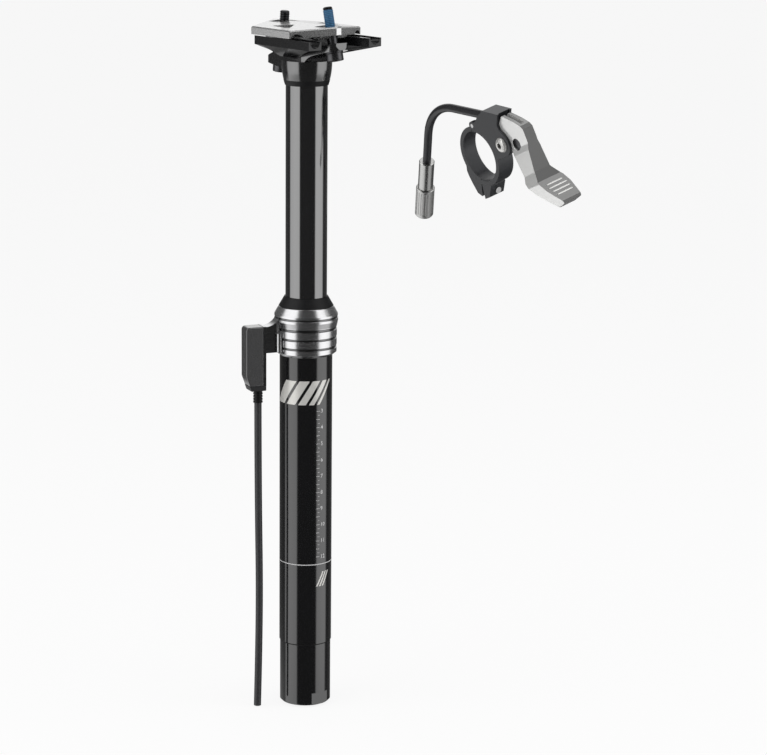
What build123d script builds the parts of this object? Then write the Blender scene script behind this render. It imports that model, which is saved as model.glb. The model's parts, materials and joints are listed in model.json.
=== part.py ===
"""A cable-driven dropper seatpost with its bar lever. Lengths are in millimetres.

The post stands on +Z, with the underside of its collar at zero and its axis on the
origin. The saddle rails run along X and the saddle's nose points to +X. The bar
lever lies apart, beside the head, with its own cable elbow and adjuster.
"""
from math import cos, pi, radians, sin, tan
import os

from build123d import *

os.makedirs("parts", exist_ok=True)

# Fits that several pieces share
slide_gap = 0.05  # radial play of bushings, piston and threaded runners
shoe_gap = 0.15  # between the lock pin's tip and the stanchion
bore_gap = 0.15  # round a pin or wire that passes through a hole
cut_past = 2.0  # how far a cutting shape runs past what it cuts
edge_break = 0.4  # small bevel on turned pieces

# Lower tube, the part that the bike's seat tube clamps
tube_d = 31.6
tube_wall = 1.7
tube_len = 177.3  # below the collar
tube_rise = 20.0  # inside the collar
tube_step = 0.2  # turned off where the collar is bonded on
tube_r = tube_d / 2
tube_bore_r = tube_r - tube_wall
collar_seat_r = tube_r - tube_step

# Sliding stanchion
stanchion_d = 24.8
stanchion_wall = 1.9
stanchion_top = 160.5
stanchion_tail = 45.0  # below the collar, inside the tube
stanchion_r = stanchion_d / 2
stanchion_bore_r = stanchion_r - stanchion_wall

# Bushings and the keys that stop the stanchion from turning
upper_bush_z = 2.0
upper_bush_len = 16.0
lower_bush_len = 18.0
lower_bush_rise = 2.0  # above the stanchion's lower end
lower_bush_z = lower_bush_rise - stanchion_tail
key_count = 3
key_w = 3.0
key_len = 15.5
key_top_gap = 0.3  # to the upper bushing, which stops the keys at full height
key_inset = 0.8
key_groove_depth = 0.7
key_gap = 0.1

# Gas cartridge inside the stanchion
cylinder_gap = 0.5  # between the cartridge and the stanchion
cylinder_wall = 1.2
cylinder_cap = 6.0
gland_flange = 6.0
gland_spigot = 7.0
gland_inset = 1.0  # up from the stanchion's lower end
rod_d = 8.0
piston_len = 12.0
piston_rise = 1.5  # above the gland with the post fully out
rod_foot_r = 6.5
rod_foot_h = 3.0
rod_r = rod_d / 2
cylinder_r = stanchion_bore_r - cylinder_gap
cylinder_bore_r = cylinder_r - cylinder_wall

# Bottom cap
cap_d = 30.7
cap_depth = 216.4  # lowest face of the cap, below the collar
cap_seal_t = 0.8
cap_spigot = 5.3
cap_well_r = 11.0
cap_floor = 11.0
nut_recess_h = 10.4
nut_recess_r = 8.5
nut_flats = 13.0
nut_h = 6.5
flats_w = 28.4
flats_h = 7.7
cap_bevel = 1.0

# Collar
collar_foot_r = 16.2
collar_foot_h = 1.7
collar_r = 18.3
collar_waist_r = 18.5
collar_waist_z = 17.5
collar_belly_r = 19.15
collar_belly_z = 20.7
shoulder_r = 18.95
shoulder_z = 24.6
rim_r = 16.3
rim_z = 29.3
groove_w = 1.2
groove_floor_r = 17.6
groove_shares = (0.177, 0.362, 0.58)  # of the rim's height
wiper_seat_r = 14.6
wiper_seat_z = 24.0

# Wiper seal
wiper_top = 35.0
wiper_lip_r = 13.0
wiper_gap = 0.1

# Cable box beside the collar, on its own side of the post
box_angle = -106.0  # degrees from +X
box_in = 27.1  # from the post's axis
box_depth = 12.4
box_w = 9.3
box_top = 18.8
box_bottom = -20.0
box_cap_h = 3.0
box_wall = 1.2
box_round = 2.2
box_taper_h = 9.0
box_taper_in = 3.2
plate_t = 1.6
arm_w = 7.0
arm_root_r = 16.6
arm_low = 2.5
arm_high = 18.3
arm_crest_r = 17.2
arm_crest_z = 27.0
arm_sag_r = 21.0
arm_sag_z = 20.4
rib_r = 2.0
rib_at_r = 18.6
rib_at_side = 4.0
rib_low = 3.0
rib_high = 14.0
box_out = box_in + box_depth

# Release: a wedge slide drawn down by the cable pulls the lock pin out
pin_z = 9.0
pin_r = 2.0
pin_head_r = 3.2
pin_head_t = 1.2
pin_head_in = 31.0  # inner face of the head, from the post's axis
slide_stroke = 5.0
pin_stroke = 0.8
slide_base = -4.0
slide_shoulder = 5.3
slide_crest = 17.2
slide_side_gap = 0.2
wedge_gap = 0.1
spring_wire_r = 0.35
pin_spring_r = 2.1
pin_spring_pitch = 1.3

# Cable
cable_d = 4.4
cable_at = 30.7  # from the post's axis
wire_r = 0.8
wire_tail = 20.3
wire_grip = 3.0
boot_r = 2.85
boot_h = 7.6
boot_rib_count = 4
boot_groove = 0.5
cable_route = [(0, 0, -27.6), (0, 0, -52), (0.7, -0.2, -96), (1.0, 0.3, -140), (0.5, 0.1, -183),
               (-0.4, -0.3, -217)]

# Saddle clamp
pivot_z = stanchion_top + 29.5  # the head tilts about this height
rail_d = 7.0
rail_span = 44.0
rail_z = pivot_z - 1.0
rail_r = rail_d / 2
rail_y = rail_span / 2

# Upper plate of the saddle clamp
plate_mid_x = -1.0
plate_half_w = 26.1  # along Y
plate_side_x = 18.2
plate_nose_x = 31.0
plate_nose_y = 1.7
plate_thick = 4.6
plate_edge_z = pivot_z - 0.2
plate_roof = 2.0  # how much the middle stands above the edges
plate_bevel = 0.7
window_near = 8.0
window_far = 19.0
window_half = 9.0
window_round = 1.2

# Barrel nuts and the troughs that they turn in
nut_at_front = 21.3
nut_at_rear = -21.8
barrel_rise = 5.2  # above the plate's edge
barrel_z = plate_edge_z + barrel_rise
barrel_r = 4.2
barrel_len = 13.4
barrel_crown = 0.7  # from the nut's axis to its flat top
trough_gap = 0.45
trough_wall = 1.5
trough_end = 1.3

# Lower cradle
cradle_front = 36.0
cradle_rear = -15.5
cradle_half_w = 26.5
cradle_inner_y = 17.5
cradle_top = pivot_z - 0.6
cradle_floor_z = rail_z - 4.6  # underside of the rail channels, where the hull begins
keel_z = pivot_z - 13.0
keel_front = 5.0
keel_rear = -10.0
keel_half_w = 12.0
notch_x = 15.0
belly_r = 14.0
belly_gap = 0.08
belly_half_w = 10.7

# Head yoke on top of the stanchion
spigot_depth = 24.5
spigot_bore_r = 7.0
spigot_bore_top = stanchion_top + 4.5
neck_foot_r = 12.75
neck_top = stanchion_top + 14.5
neck_top_r = 14.9
neck_mid_z = stanchion_top + 5.1
neck_mid_r = 14.1
saddle_top = pivot_z - 8.4
saddle_x = 13.2
saddle_half_w = 10.4
saddle_flat_x = 8.0
boss_r = 8.0
front_boss_x = 25.5
rear_boss_x = -24.3
front_boss_low = pivot_z - 8.6
front_boss_h = 3.9
rear_boss_low = pivot_z - 18.9
rear_boss_h = 4.6
arm_root_z = stanchion_top + 7.5
arm_root_x = 8.0
arm_sweep_x = 11.0
arm_sweep_z = stanchion_top + 15.0

# Clamp bolts
bolt_r = 3.0
bolt_head_r = 5.0
bolt_head_h = 4.2
bolt_key = 5.0
bolt_key_depth = 2.4
bolt_hole_gap = 0.3
bolt_swing = 1.0  # room for the plate to tilt on the bolt
washer_t = 0.8
washer_r = 5.3
front_bolt_lean = 14.0  # degrees, outwards going down
rear_bolt_lean = 6.0
front_bolt_len = 31.4
rear_bolt_len = 36.1

# Bar lever. Its sketches lie in a plane square to the handlebar
bar_d = 31.8
remote_at = (36.3, 108.7, 115.3)  # middle of the bar clamp's bore
bar_azimuth = 85.54  # degrees, where the bar's axis points
bar_elevation = 17.03
side_azimuth = -10.92  # degrees, the sketches' first axis
side_elevation = 20.18
clamp_wall = 3.0
clamp_w = 9.6
body_w = 11.2
split_angle = -124.0
split_w = 1.0
joint_angle = 72.0
joint_gap_angle = 6.0  # from the body to the band at the hinge
knuckle_in_angle = 8.0
knuckle_out_angle = 12.0
pivot_head_taper = 35
hinge_at = (7.2, 18.4)
hinge_pin_r = 1.25
knuckle_r = 2.4
knuckle_w = 4.6
knuckle_gap = 0.3
clamp_screw_r = 2.0
clamp_screw_head_r = 3.5
clamp_screw_head_h = 3.0
clamp_screw_at = 22.0  # from the bar's axis
clamp_screw_in = 9.0
clamp_screw_out = 9.2
clamp_screw_key = 3.0
bar_r = bar_d / 2
clamp_r = bar_r + clamp_wall

# Thumb lever and its pivot
lever_pivot = (28.5, 0.5)
lever_size = 57.6  # pivot to the paddle's tip
lever_hub_r = 6.2
lever_w = 7.4
lever_round = 0.7
lever_front_round = 2.5
lever_mid_w = 9.2
lever_low_w = 12.0
paddle_w = 18.6
paddle_tip_w = 12.0
lever_slot_w = 2.6
ear_r = 7.5
ear_gap = 0.4  # between the lever and each ear
pivot_r = 2.5
pivot_head_r = 4.65
pivot_head_h = 2.2
pivot_key = 3.0
bush_wall = 0.9
bush_gap = 0.1
anchor_at = (40.8, -3.0)
anchor_r = 3.7
anchor_len = 5.4
anchor_screw_r = 1.25
anchor_screw_len = 2.4
spring_pocket_r = 5.4
spring_pocket_h = 3.2
lever_spring_r = 4.45
lever_spring_wire_r = 0.4
lever_spring_pitch = 1.0

# Cable elbow and barrel adjuster of the bar lever
elbow_r = 2.55
elbow_bore_r = 1.2
elbow_start = (17.4, 20.5)
elbow_corner = (-34.6, 42.2)
elbow_grip = 5.6  # how deep the elbow sits in the adjuster sleeve
elbow_bend = 36.0
sleeve_at = (-66.9, 11.3)
sleeve_r = 4.8
sleeve_len = 20.6
sleeve_stub_r = 3.4
sleeve_stub_len = 8.0
barrel_adjust_r = 5.85
barrel_adjust_len = 22.1
barrel_round = 1.6
socket_r = 2.6
socket_depth = 12.0
flute_count = 24
flute_r = 0.35


def ring(outer, inner):
    """Draw a ring in the sketch block that calls this."""
    Circle(outer)
    Circle(inner, mode=Mode.SUBTRACT)


def outline(shares, size, shift=(0, 0)):
    """Points of an outline given as shares of one size, moved to where it sits."""
    return [(shift[0] + a * size, shift[1] + b * size) for a, b in shares]


def heading(azimuth, elevation):
    """Unit direction from its two angles in degrees."""
    level = cos(radians(elevation))
    return Vector(level * cos(radians(azimuth)), level * sin(radians(azimuth)), sin(radians(elevation)))


def polar(radius, angle):
    """Flat point at a distance and an angle in degrees."""
    return radius * cos(radians(angle)), radius * sin(radians(angle))


# Directions and planes that several pieces share
box_way = heading(box_angle, 0)
box_plane = Plane(origin=(0, 0, 0), x_dir=box_way, z_dir=box_way.cross(Vector(0, 0, 1)))
pin_plane = Plane(origin=(0, 0, pin_z), x_dir=(0, 0, 1), z_dir=box_way)
cable_center = box_way * cable_at
bar_way = heading(bar_azimuth, bar_elevation)
remote_plane = Plane(origin=remote_at, x_dir=heading(side_azimuth, side_elevation), z_dir=bar_way * -1)
lever_front_plane = Plane(origin=remote_at, x_dir=bar_way, z_dir=remote_plane.x_dir)
head_plane = Plane(origin=(0, 0, 0), x_dir=(1, 0, 0), z_dir=(0, -1, 0))
front_bolt_way = Vector(-sin(radians(front_bolt_lean)), 0, cos(radians(front_bolt_lean)))
rear_bolt_way = Vector(sin(radians(rear_bolt_lean)), 0, cos(radians(rear_bolt_lean)))
front_seat = Vector(front_boss_x, 0, front_boss_low)
rear_seat = Vector(rear_boss_x, 0, rear_boss_low)
bolt_seats = [(front_seat, front_bolt_way), (rear_seat, rear_bolt_way)]


def bolt_plane(seat, way, along):
    """Plane square to a clamp bolt, at a distance along it from its boss's lower face."""
    return Plane(origin=seat + way * along, x_dir=(0, 1, 0), z_dir=way)


def remote_point(point):
    """Point in space of a flat point in the bar lever's own plane."""
    return remote_plane.from_local_coords(Vector(point[0], point[1], 0))


# Lower tube, with the key grooves broached from below up to the upper bushing
key_out = tube_bore_r + key_groove_depth
key_in = stanchion_r - key_inset
key_turn = box_angle + 180 / key_count

with BuildPart() as outer_tube:
    with BuildSketch(Plane.XY.offset(-tube_len)):
        ring(tube_r, tube_bore_r)
    extrude(amount=tube_len)
    with BuildSketch(Plane.XY):
        ring(collar_seat_r, tube_bore_r)
    extrude(amount=tube_rise)
    with BuildSketch(Plane.XY.offset(-tube_len)):
        with PolarLocations((key_out + key_in) / 2, key_count, start_angle=key_turn):
            Rectangle(key_out - key_in, key_w + 2 * key_gap)
    extrude(amount=tube_len + upper_bush_z, mode=Mode.SUBTRACT)
    with BuildSketch(pin_plane):
        Circle(pin_r + bore_gap)
    extrude(amount=tube_r + cut_past, mode=Mode.SUBTRACT)
outer_tube.part.label = "outer_tube"
export_step(outer_tube.part, "parts/outer_tube.step")

# Bottom cap: a screwed plug with a well, a floor that holds the rod and a nut recess
cap_r = cap_d / 2
cap_shoulder = -tube_len - cap_seal_t
nut_seat = -cap_depth + nut_recess_h
floor_top = nut_seat + cap_floor

with BuildPart() as bottom_cap:
    with BuildSketch(Plane.XZ):
        with BuildLine():
            Polyline(
                (rod_r, nut_seat),
                (nut_recess_r, nut_seat),
                (nut_recess_r, -cap_depth),
                (cap_r - cap_bevel, -cap_depth),
                (cap_r, cap_bevel - cap_depth),
                (cap_r, cap_shoulder),
                (tube_bore_r, cap_shoulder),
                (tube_bore_r, -tube_len + cap_spigot),
                (cap_well_r, -tube_len + cap_spigot),
                (cap_well_r, floor_top),
                (rod_r, floor_top),
                close=True,
            )
        make_face()
    revolve(axis=Axis.Z)
    with BuildSketch(Plane.XY.offset(-cap_depth)):
        Circle(cap_d)
        Rectangle(flats_w, 2 * cap_d, mode=Mode.SUBTRACT)
    extrude(amount=flats_h, mode=Mode.SUBTRACT)
bottom_cap.part.label = "bottom_cap"
export_step(bottom_cap.part, "parts/bottom_cap.step")

# Sealing ring between the tube's end and the cap
with BuildPart() as cap_seal:
    with BuildSketch(Plane.XY.offset(cap_shoulder)):
        ring(cap_r, tube_bore_r)
    extrude(amount=cap_seal_t)
cap_seal.part.label = "cap_seal"
export_step(cap_seal.part, "parts/cap_seal.step")

# Gland, piston and rod of the gas cartridge; the rod stands on the cap's floor
gland_base = gland_inset - stanchion_tail
gland_top = gland_base + gland_flange + gland_spigot
piston_base = gland_top + piston_rise
piston_top = piston_base + piston_len
rod_tip = nut_seat - nut_h - cap_seal_t

with BuildPart() as piston_rod:
    with BuildSketch(Plane.XY.offset(rod_tip)):
        Circle(rod_r)
    extrude(amount=piston_top - rod_tip)
    with BuildSketch(Plane.XY.offset(floor_top)):
        Circle(rod_foot_r)
    extrude(amount=rod_foot_h)
piston_rod.part.label = "piston_rod"
export_step(piston_rod.part, "parts/piston_rod.step")

with BuildPart() as piston:
    with BuildSketch(Plane.XY.offset(piston_base)):
        ring(cylinder_bore_r - slide_gap, rod_r)
    extrude(amount=piston_len)
    chamfer(piston.edges().filter_by(GeomType.CIRCLE).sort_by(SortBy.RADIUS)[-2:], edge_break)
piston.part.label = "piston"
export_step(piston.part, "parts/piston.step")

with BuildPart() as rod_nut:
    with BuildSketch(Plane.XY.offset(nut_seat - nut_h)):
        RegularPolygon(nut_flats / 2, 6, major_radius=False)
        Circle(rod_r, mode=Mode.SUBTRACT)
    extrude(amount=nut_h)
rod_nut.part.label = "rod_nut"
export_step(rod_nut.part, "parts/rod_nut.step")

with BuildPart() as cylinder_gland:
    with BuildSketch(Plane.XY.offset(gland_base)):
        ring(stanchion_bore_r, rod_r + slide_gap)
    extrude(amount=gland_flange)
    with BuildSketch(Plane.XY.offset(gland_base + gland_flange)):
        ring(cylinder_bore_r, rod_r + slide_gap)
    extrude(amount=gland_spigot)
cylinder_gland.part.label = "cylinder_gland"
export_step(cylinder_gland.part, "parts/cylinder_gland.step")

# Gas cylinder, closed on top, held between the gland and the yoke's spigot
spigot_base = stanchion_top - spigot_depth
cylinder_base = gland_base + gland_flange

with BuildPart() as gas_cylinder:
    with BuildSketch(Plane.XY.offset(cylinder_base)):
        Circle(cylinder_r)
    extrude(amount=spigot_base - cylinder_base)
    with BuildSketch(Plane.XY.offset(cylinder_base)):
        Circle(cylinder_bore_r)
    extrude(amount=spigot_base - cylinder_cap - cylinder_base, mode=Mode.SUBTRACT)
gas_cylinder.part.label = "gas_cylinder"
export_step(gas_cylinder.part, "parts/gas_cylinder.step")

# Stanchion, with a pocket for each key
key_top = upper_bush_z - key_top_gap

with BuildPart() as stanchion:
    with BuildSketch(Plane.XY.offset(-stanchion_tail)):
        ring(stanchion_r, stanchion_bore_r)
    extrude(amount=stanchion_tail + stanchion_top)
    with BuildSketch(Plane.XY.offset(key_top - key_len)):
        with PolarLocations((key_out + key_in) / 2, key_count, start_angle=key_turn):
            Rectangle(key_out - key_in, key_w)
    extrude(amount=key_len, mode=Mode.SUBTRACT)
stanchion.part.label = "stanchion"
export_step(stanchion.part, "parts/stanchion.step")

with BuildPart() as guide_keys:
    with BuildSketch(Plane.XY.offset(key_top - key_len)):
        with PolarLocations((key_out - key_gap + key_in) / 2, key_count, start_angle=key_turn):
            Rectangle(key_out - key_gap - key_in, key_w)
    extrude(amount=key_len)
guide_keys.part.label = "guide_keys"
export_step(guide_keys.part, "parts/guide_keys.step")

# Bushings: the upper one sits in the tube, the lower one rides on the stanchion
with BuildPart() as upper_bushing:
    with BuildSketch(Plane.XY.offset(upper_bush_z)):
        ring(tube_bore_r, stanchion_r + slide_gap)
    extrude(amount=upper_bush_len)
    with BuildSketch(pin_plane):
        Circle(pin_r + bore_gap)
    extrude(amount=tube_r, mode=Mode.SUBTRACT)
upper_bushing.part.label = "upper_bushing"
export_step(upper_bushing.part, "parts/upper_bushing.step")

with BuildPart() as lower_bushing:
    with BuildSketch(Plane.XY.offset(lower_bush_z)):
        ring(tube_bore_r - slide_gap, stanchion_r)
    extrude(amount=lower_bush_len)
lower_bushing.part.label = "lower_bushing"
export_step(lower_bushing.part, "parts/lower_bushing.step")

# Collar: a turned ring with three grooves, and the arm that carries the cable box
with BuildPart() as collar:
    with BuildSketch(Plane.XZ):
        with BuildLine():
            Polyline(
                (collar_seat_r, 0),
                (collar_foot_r, 0),
                (collar_r, collar_foot_h),
                (collar_waist_r, collar_waist_z),
                (collar_belly_r, collar_belly_z),
                (shoulder_r, shoulder_z),
                (rim_r, rim_z),
                (wiper_seat_r, rim_z),
                (wiper_seat_r, wiper_seat_z),
                (tube_bore_r, wiper_seat_z),
                (tube_bore_r, tube_rise),
                (collar_seat_r, tube_rise),
                (collar_seat_r, 0),
            )
        make_face()
    revolve(axis=Axis.Z)
    for share in groove_shares:
        with BuildSketch(Plane.XY.offset(share * rim_z - groove_w / 2)):
            ring(collar_r + cut_past, groove_floor_r)
        extrude(amount=groove_w, mode=Mode.SUBTRACT)
    with BuildSketch(box_plane):
        with BuildLine():
            Polyline(
                (arm_crest_r, arm_crest_z),
                (arm_root_r, arm_crest_z),
                (arm_root_r, arm_low),
                (box_in, arm_low),
                (box_in, arm_high),
            )
            ThreePointArc((box_in, arm_high), (arm_sag_r, arm_sag_z), (arm_crest_r, arm_crest_z))
        make_face()
    extrude(amount=arm_w / 2, both=True)
    with BuildSketch(box_plane):
        with Locations((box_in + plate_t / 2, (box_top + box_bottom + box_cap_h) / 2)):
            Rectangle(plate_t, box_top - box_bottom - box_cap_h)
    extrude(amount=box_w / 2, both=True)
    with BuildSketch(Plane(origin=(0, 0, rib_low), x_dir=box_way, z_dir=(0, 0, 1))):
        with Locations((rib_at_r, rib_at_side), (rib_at_r, -rib_at_side)):
            Circle(rib_r)
    extrude(amount=rib_high - rib_low)
    with BuildSketch(pin_plane):
        Circle(pin_r + bore_gap)
    extrude(amount=box_out, mode=Mode.SUBTRACT)
collar.part.label = "collar"
export_step(collar.part, "parts/collar.step")

# Wiper seal: a rubber cone on the collar's rim, seated in the collar
with BuildPart() as wiper_seal:
    with BuildSketch(Plane.XZ):
        with BuildLine():
            Polyline(
                (stanchion_r + wiper_gap, wiper_seat_z),
                (wiper_seat_r, wiper_seat_z),
                (wiper_seat_r, rim_z),
                (rim_r, rim_z),
                (wiper_lip_r, wiper_top),
                (stanchion_r + wiper_gap, wiper_top),
                close=True,
            )
        make_face()
    revolve(axis=Axis.Z)
wiper_seal.part.label = "wiper_seal"
export_step(wiper_seal.part, "parts/wiper_seal.step")

# Cover of the cable box: a shell, open towards the arm's back plate and below
cover_in = box_in + plate_t
cover_low = box_bottom + box_cap_h
taper_slope = box_taper_in / box_taper_h
taper_top = box_bottom + box_taper_h
cover_low_out = box_out - taper_slope * (taper_top - cover_low)

with BuildPart() as box_cover:
    with BuildSketch(box_plane):
        Polygon(
            (cover_in, box_top),
            (box_out, box_top),
            (box_out, taper_top),
            (cover_low_out, cover_low),
            (cover_in, cover_low),
            align=None,
        )
    extrude(amount=box_w / 2, both=True)
    fillet(box_cover.faces().sort_by(Axis.Z)[-1].edges().sort_by(SortBy.DISTANCE)[-1], box_round)
    with BuildSketch(box_plane):
        Polygon(
            (cover_in - cut_past, box_top - box_wall),
            (box_out - box_wall, box_top - box_wall),
            (box_out - box_wall, taper_top),
            (cover_low_out - box_wall - taper_slope * cut_past, cover_low - cut_past),
            (cover_in - cut_past, cover_low - cut_past),
            align=None,
        )
    extrude(amount=box_w / 2 - box_wall, both=True, mode=Mode.SUBTRACT)
box_cover.part.label = "box_cover"
export_step(box_cover.part, "parts/box_cover.step")

# Lower cap of the cable box, with the hole for the inner wire
with BuildPart() as box_end_cap:
    with BuildSketch(box_plane):
        Polygon(
            (box_in, cover_low),
            (cover_low_out, cover_low),
            (box_out - box_taper_in, box_bottom),
            (box_in, box_bottom),
            align=None,
        )
    extrude(amount=box_w / 2, both=True)
    fillet(box_end_cap.faces().sort_by(Axis.Z)[0].edges(), edge_break)
    with BuildSketch(Plane(origin=cable_center, z_dir=(0, 0, 1))):
        Circle(wire_r + bore_gap)
    extrude(amount=box_bottom - cut_past, mode=Mode.SUBTRACT)
box_end_cap.part.label = "box_end_cap"
export_step(box_end_cap.part, "parts/box_end_cap.step")

# Lock pin, drawn outwards by its head
with BuildPart() as lock_pin:
    with BuildSketch(pin_plane.offset(stanchion_r + shoe_gap)):
        Circle(pin_r)
    extrude(amount=pin_head_in - stanchion_r - shoe_gap)
    with BuildSketch(pin_plane.offset(pin_head_in)):
        Circle(pin_head_r)
    extrude(amount=pin_head_t)
lock_pin.part.label = "lock_pin"
export_step(lock_pin.part, "parts/lock_pin.step")

# Wedge slide: two ramps behind the pin's head, and the block that the wire pulls
slide_in = cover_in + slide_side_gap
slide_out = pin_head_in + pin_head_t
wedge_slope = pin_stroke / slide_stroke
wedge_face = pin_head_in - wedge_gap
wedge_at = pin_z + pin_head_r
slide_half = box_w / 2 - box_wall - slide_side_gap

with BuildPart() as cable_slide:
    with BuildSketch(box_plane):
        Polygon(
            (slide_in, slide_base),
            (slide_out, slide_base),
            (slide_out, slide_shoulder),
            (wedge_face - wedge_slope * (wedge_at - slide_shoulder), slide_shoulder),
            (wedge_face + wedge_slope * (slide_crest - wedge_at), slide_crest),
            (slide_in, slide_crest),
            align=None,
        )
    extrude(amount=slide_half, both=True)
    with BuildSketch(Plane.XY.offset(slide_shoulder)):
        with Locations(Plane(origin=cable_center, x_dir=box_way, z_dir=(0, 0, 1))):
            Rectangle(box_depth, 2 * (pin_r + bore_gap))
    extrude(amount=slide_crest, mode=Mode.SUBTRACT)
    with BuildSketch(Plane(origin=cable_center + Vector(0, 0, slide_base), z_dir=(0, 0, 1))):
        Circle(wire_r)
    extrude(amount=wire_grip, mode=Mode.SUBTRACT)
cable_slide.part.label = "cable_slide"
export_step(cable_slide.part, "parts/cable_slide.step")

with BuildPart() as inner_wire:
    with BuildSketch(Plane(origin=cable_center + Vector(0, 0, -wire_tail), z_dir=(0, 0, 1))):
        Circle(wire_r)
    extrude(amount=wire_tail + slide_base + wire_grip)
inner_wire.part.label = "inner_wire"
export_step(inner_wire.part, "parts/inner_wire.step")

# Spring that pushes the lock pin home, between its head and the cover
pin_spring_base = slide_out + pin_stroke + wedge_gap + spring_wire_r
pin_spring_len = box_out - box_wall - spring_wire_r - pin_spring_base

with BuildPart() as pin_spring:
    with BuildLine():
        coil = Helix(pin_spring_pitch, pin_spring_len, pin_spring_r,
                     center=box_way * pin_spring_base + Vector(0, 0, pin_z), direction=box_way)
    with BuildSketch(Plane(origin=coil @ 0, z_dir=coil % 0)):
        Circle(spring_wire_r)
    sweep(path=coil, is_frenet=True)
pin_spring.part.label = "pin_spring"
export_step(pin_spring.part, "parts/pin_spring.step")

# Ribbed boot where the cable enters the box
boot_pitch = boot_h / (boot_rib_count + 0.5)

with BuildPart() as cable_boot:
    with BuildSketch(Plane(origin=cable_center + Vector(0, 0, box_bottom), z_dir=(0, 0, -1))):
        ring(boot_r, wire_r + bore_gap)
    extrude(amount=boot_h)
    for step in range(boot_rib_count):
        rib_top = box_bottom - (step + 0.5) * boot_pitch
        with BuildSketch(Plane(origin=cable_center + Vector(0, 0, rib_top), z_dir=(0, 0, -1))):
            ring(boot_r + cut_past, boot_r - boot_groove)
        extrude(amount=boot_pitch / 2, mode=Mode.SUBTRACT)
cable_boot.part.label = "cable_boot"
export_step(cable_boot.part, "parts/cable_boot.step")

# Cable housing, hanging from the boot to its cut end
cable_points = [cable_center + Vector(*point) for point in cable_route]
cable_runs = [(b - a).length for a, b in zip(cable_points, cable_points[1:])]
cable_radii = []
for before, at, after in zip(cable_points, cable_points[1:], cable_points[2:]):
    turn = (at - before).get_angle(after - at)
    shorter = min((at - before).length, (after - at).length)
    cable_radii.append(0.45 * shorter / tan(radians(turn / 2)))
print("cable arc radii", [round(radius) for radius in cable_radii])

with BuildPart() as cable_housing:
    with BuildLine():
        cable_line = FilletPolyline(*cable_points, radius=cable_radii)
    with BuildSketch(Plane(origin=cable_points[0], z_dir=(0, 0, -1))):
        Circle(cable_d / 2)
    sweep(path=cable_line)
section_volume = cable_line.length * pi * (cable_d / 2) ** 2
print("cable length", cable_line.length, "volume share", cable_housing.part.volume / section_volume)
cable_housing.part.label = "cable_housing"
export_step(cable_housing.part, "parts/cable_housing.step")

# Head yoke: a spigot in the stanchion, a flared neck, a hollow saddle and two bolt bosses
front_rise = tan(radians(front_bolt_lean))
rear_rise = tan(radians(rear_bolt_lean))
front_low_in = front_boss_low - boss_r * front_rise
front_low_out = front_boss_low + boss_r * front_rise
rear_low_out = rear_boss_low + boss_r * rear_rise
rear_low_in = rear_boss_low + (rear_boss_x + neck_top_r) * rear_rise

with BuildPart() as head_yoke:
    with BuildSketch(head_plane):
        with BuildLine():
            ThreePointArc(
                (arm_root_x, arm_root_z), (arm_sweep_x, arm_sweep_z), (front_boss_x - boss_r, front_low_in)
            )
            Polyline(
                (front_boss_x - boss_r, front_low_in),
                (front_boss_x + boss_r, front_low_out),
                (front_boss_x + boss_r - front_rise * front_boss_h, front_low_out + front_boss_h),
                (front_boss_x - boss_r, front_low_in + front_boss_h),
                (saddle_x, saddle_top),
                (-saddle_x, saddle_top),
                (rear_boss_x - boss_r / 2, rear_boss_low + rear_boss_h),
                (rear_boss_x - boss_r, rear_boss_low + rear_boss_h),
                (rear_boss_x - boss_r, rear_low_out),
                (-neck_top_r, rear_low_in),
                (-arm_root_x, arm_root_z),
                (arm_root_x, arm_root_z),
            )
        make_face()
    extrude(amount=neck_top_r, both=True)
    with BuildSketch(Plane.XY.offset(arm_root_z)):
        Polygon(
            (saddle_flat_x, saddle_half_w),
            (front_boss_x, boss_r),
            (front_boss_x, -boss_r),
            (saddle_flat_x, -saddle_half_w),
            (-saddle_flat_x, -saddle_half_w),
            (rear_boss_x, -boss_r),
            (rear_boss_x, boss_r),
            (-saddle_flat_x, saddle_half_w),
            align=None,
        )
        with Locations((front_boss_x, 0), (rear_boss_x, 0)):
            Circle(boss_r)
    extrude(amount=cradle_top - arm_root_z, mode=Mode.INTERSECT)
    with BuildSketch(Plane.XZ):
        with BuildLine():
            Polyline((0, spigot_base), (stanchion_bore_r, spigot_base), (stanchion_bore_r, stanchion_top),
                     (neck_foot_r, stanchion_top))
            ThreePointArc((neck_foot_r, stanchion_top), (neck_mid_r, neck_mid_z), (neck_top_r, neck_top))
            Polyline((neck_top_r, neck_top), (0, neck_top), (0, spigot_base))
        make_face()
    revolve(axis=Axis.Z)
    with BuildSketch(Plane.XY.offset(spigot_base)):
        Circle(spigot_bore_r)
    extrude(amount=spigot_bore_top - spigot_base, mode=Mode.SUBTRACT)
    with BuildSketch(head_plane):
        with Locations((0, pivot_z)):
            Circle(belly_r + belly_gap)
    extrude(amount=neck_top_r + cut_past, both=True, mode=Mode.SUBTRACT)
    for seat, way in bolt_seats:
        with BuildSketch(bolt_plane(seat, way, -cut_past)):
            Circle(bolt_r + bolt_hole_gap)
        extrude(amount=boss_r + 2 * cut_past, mode=Mode.SUBTRACT)
head_yoke.part.label = "head_yoke"
export_step(head_yoke.part, "parts/head_yoke.step")

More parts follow.
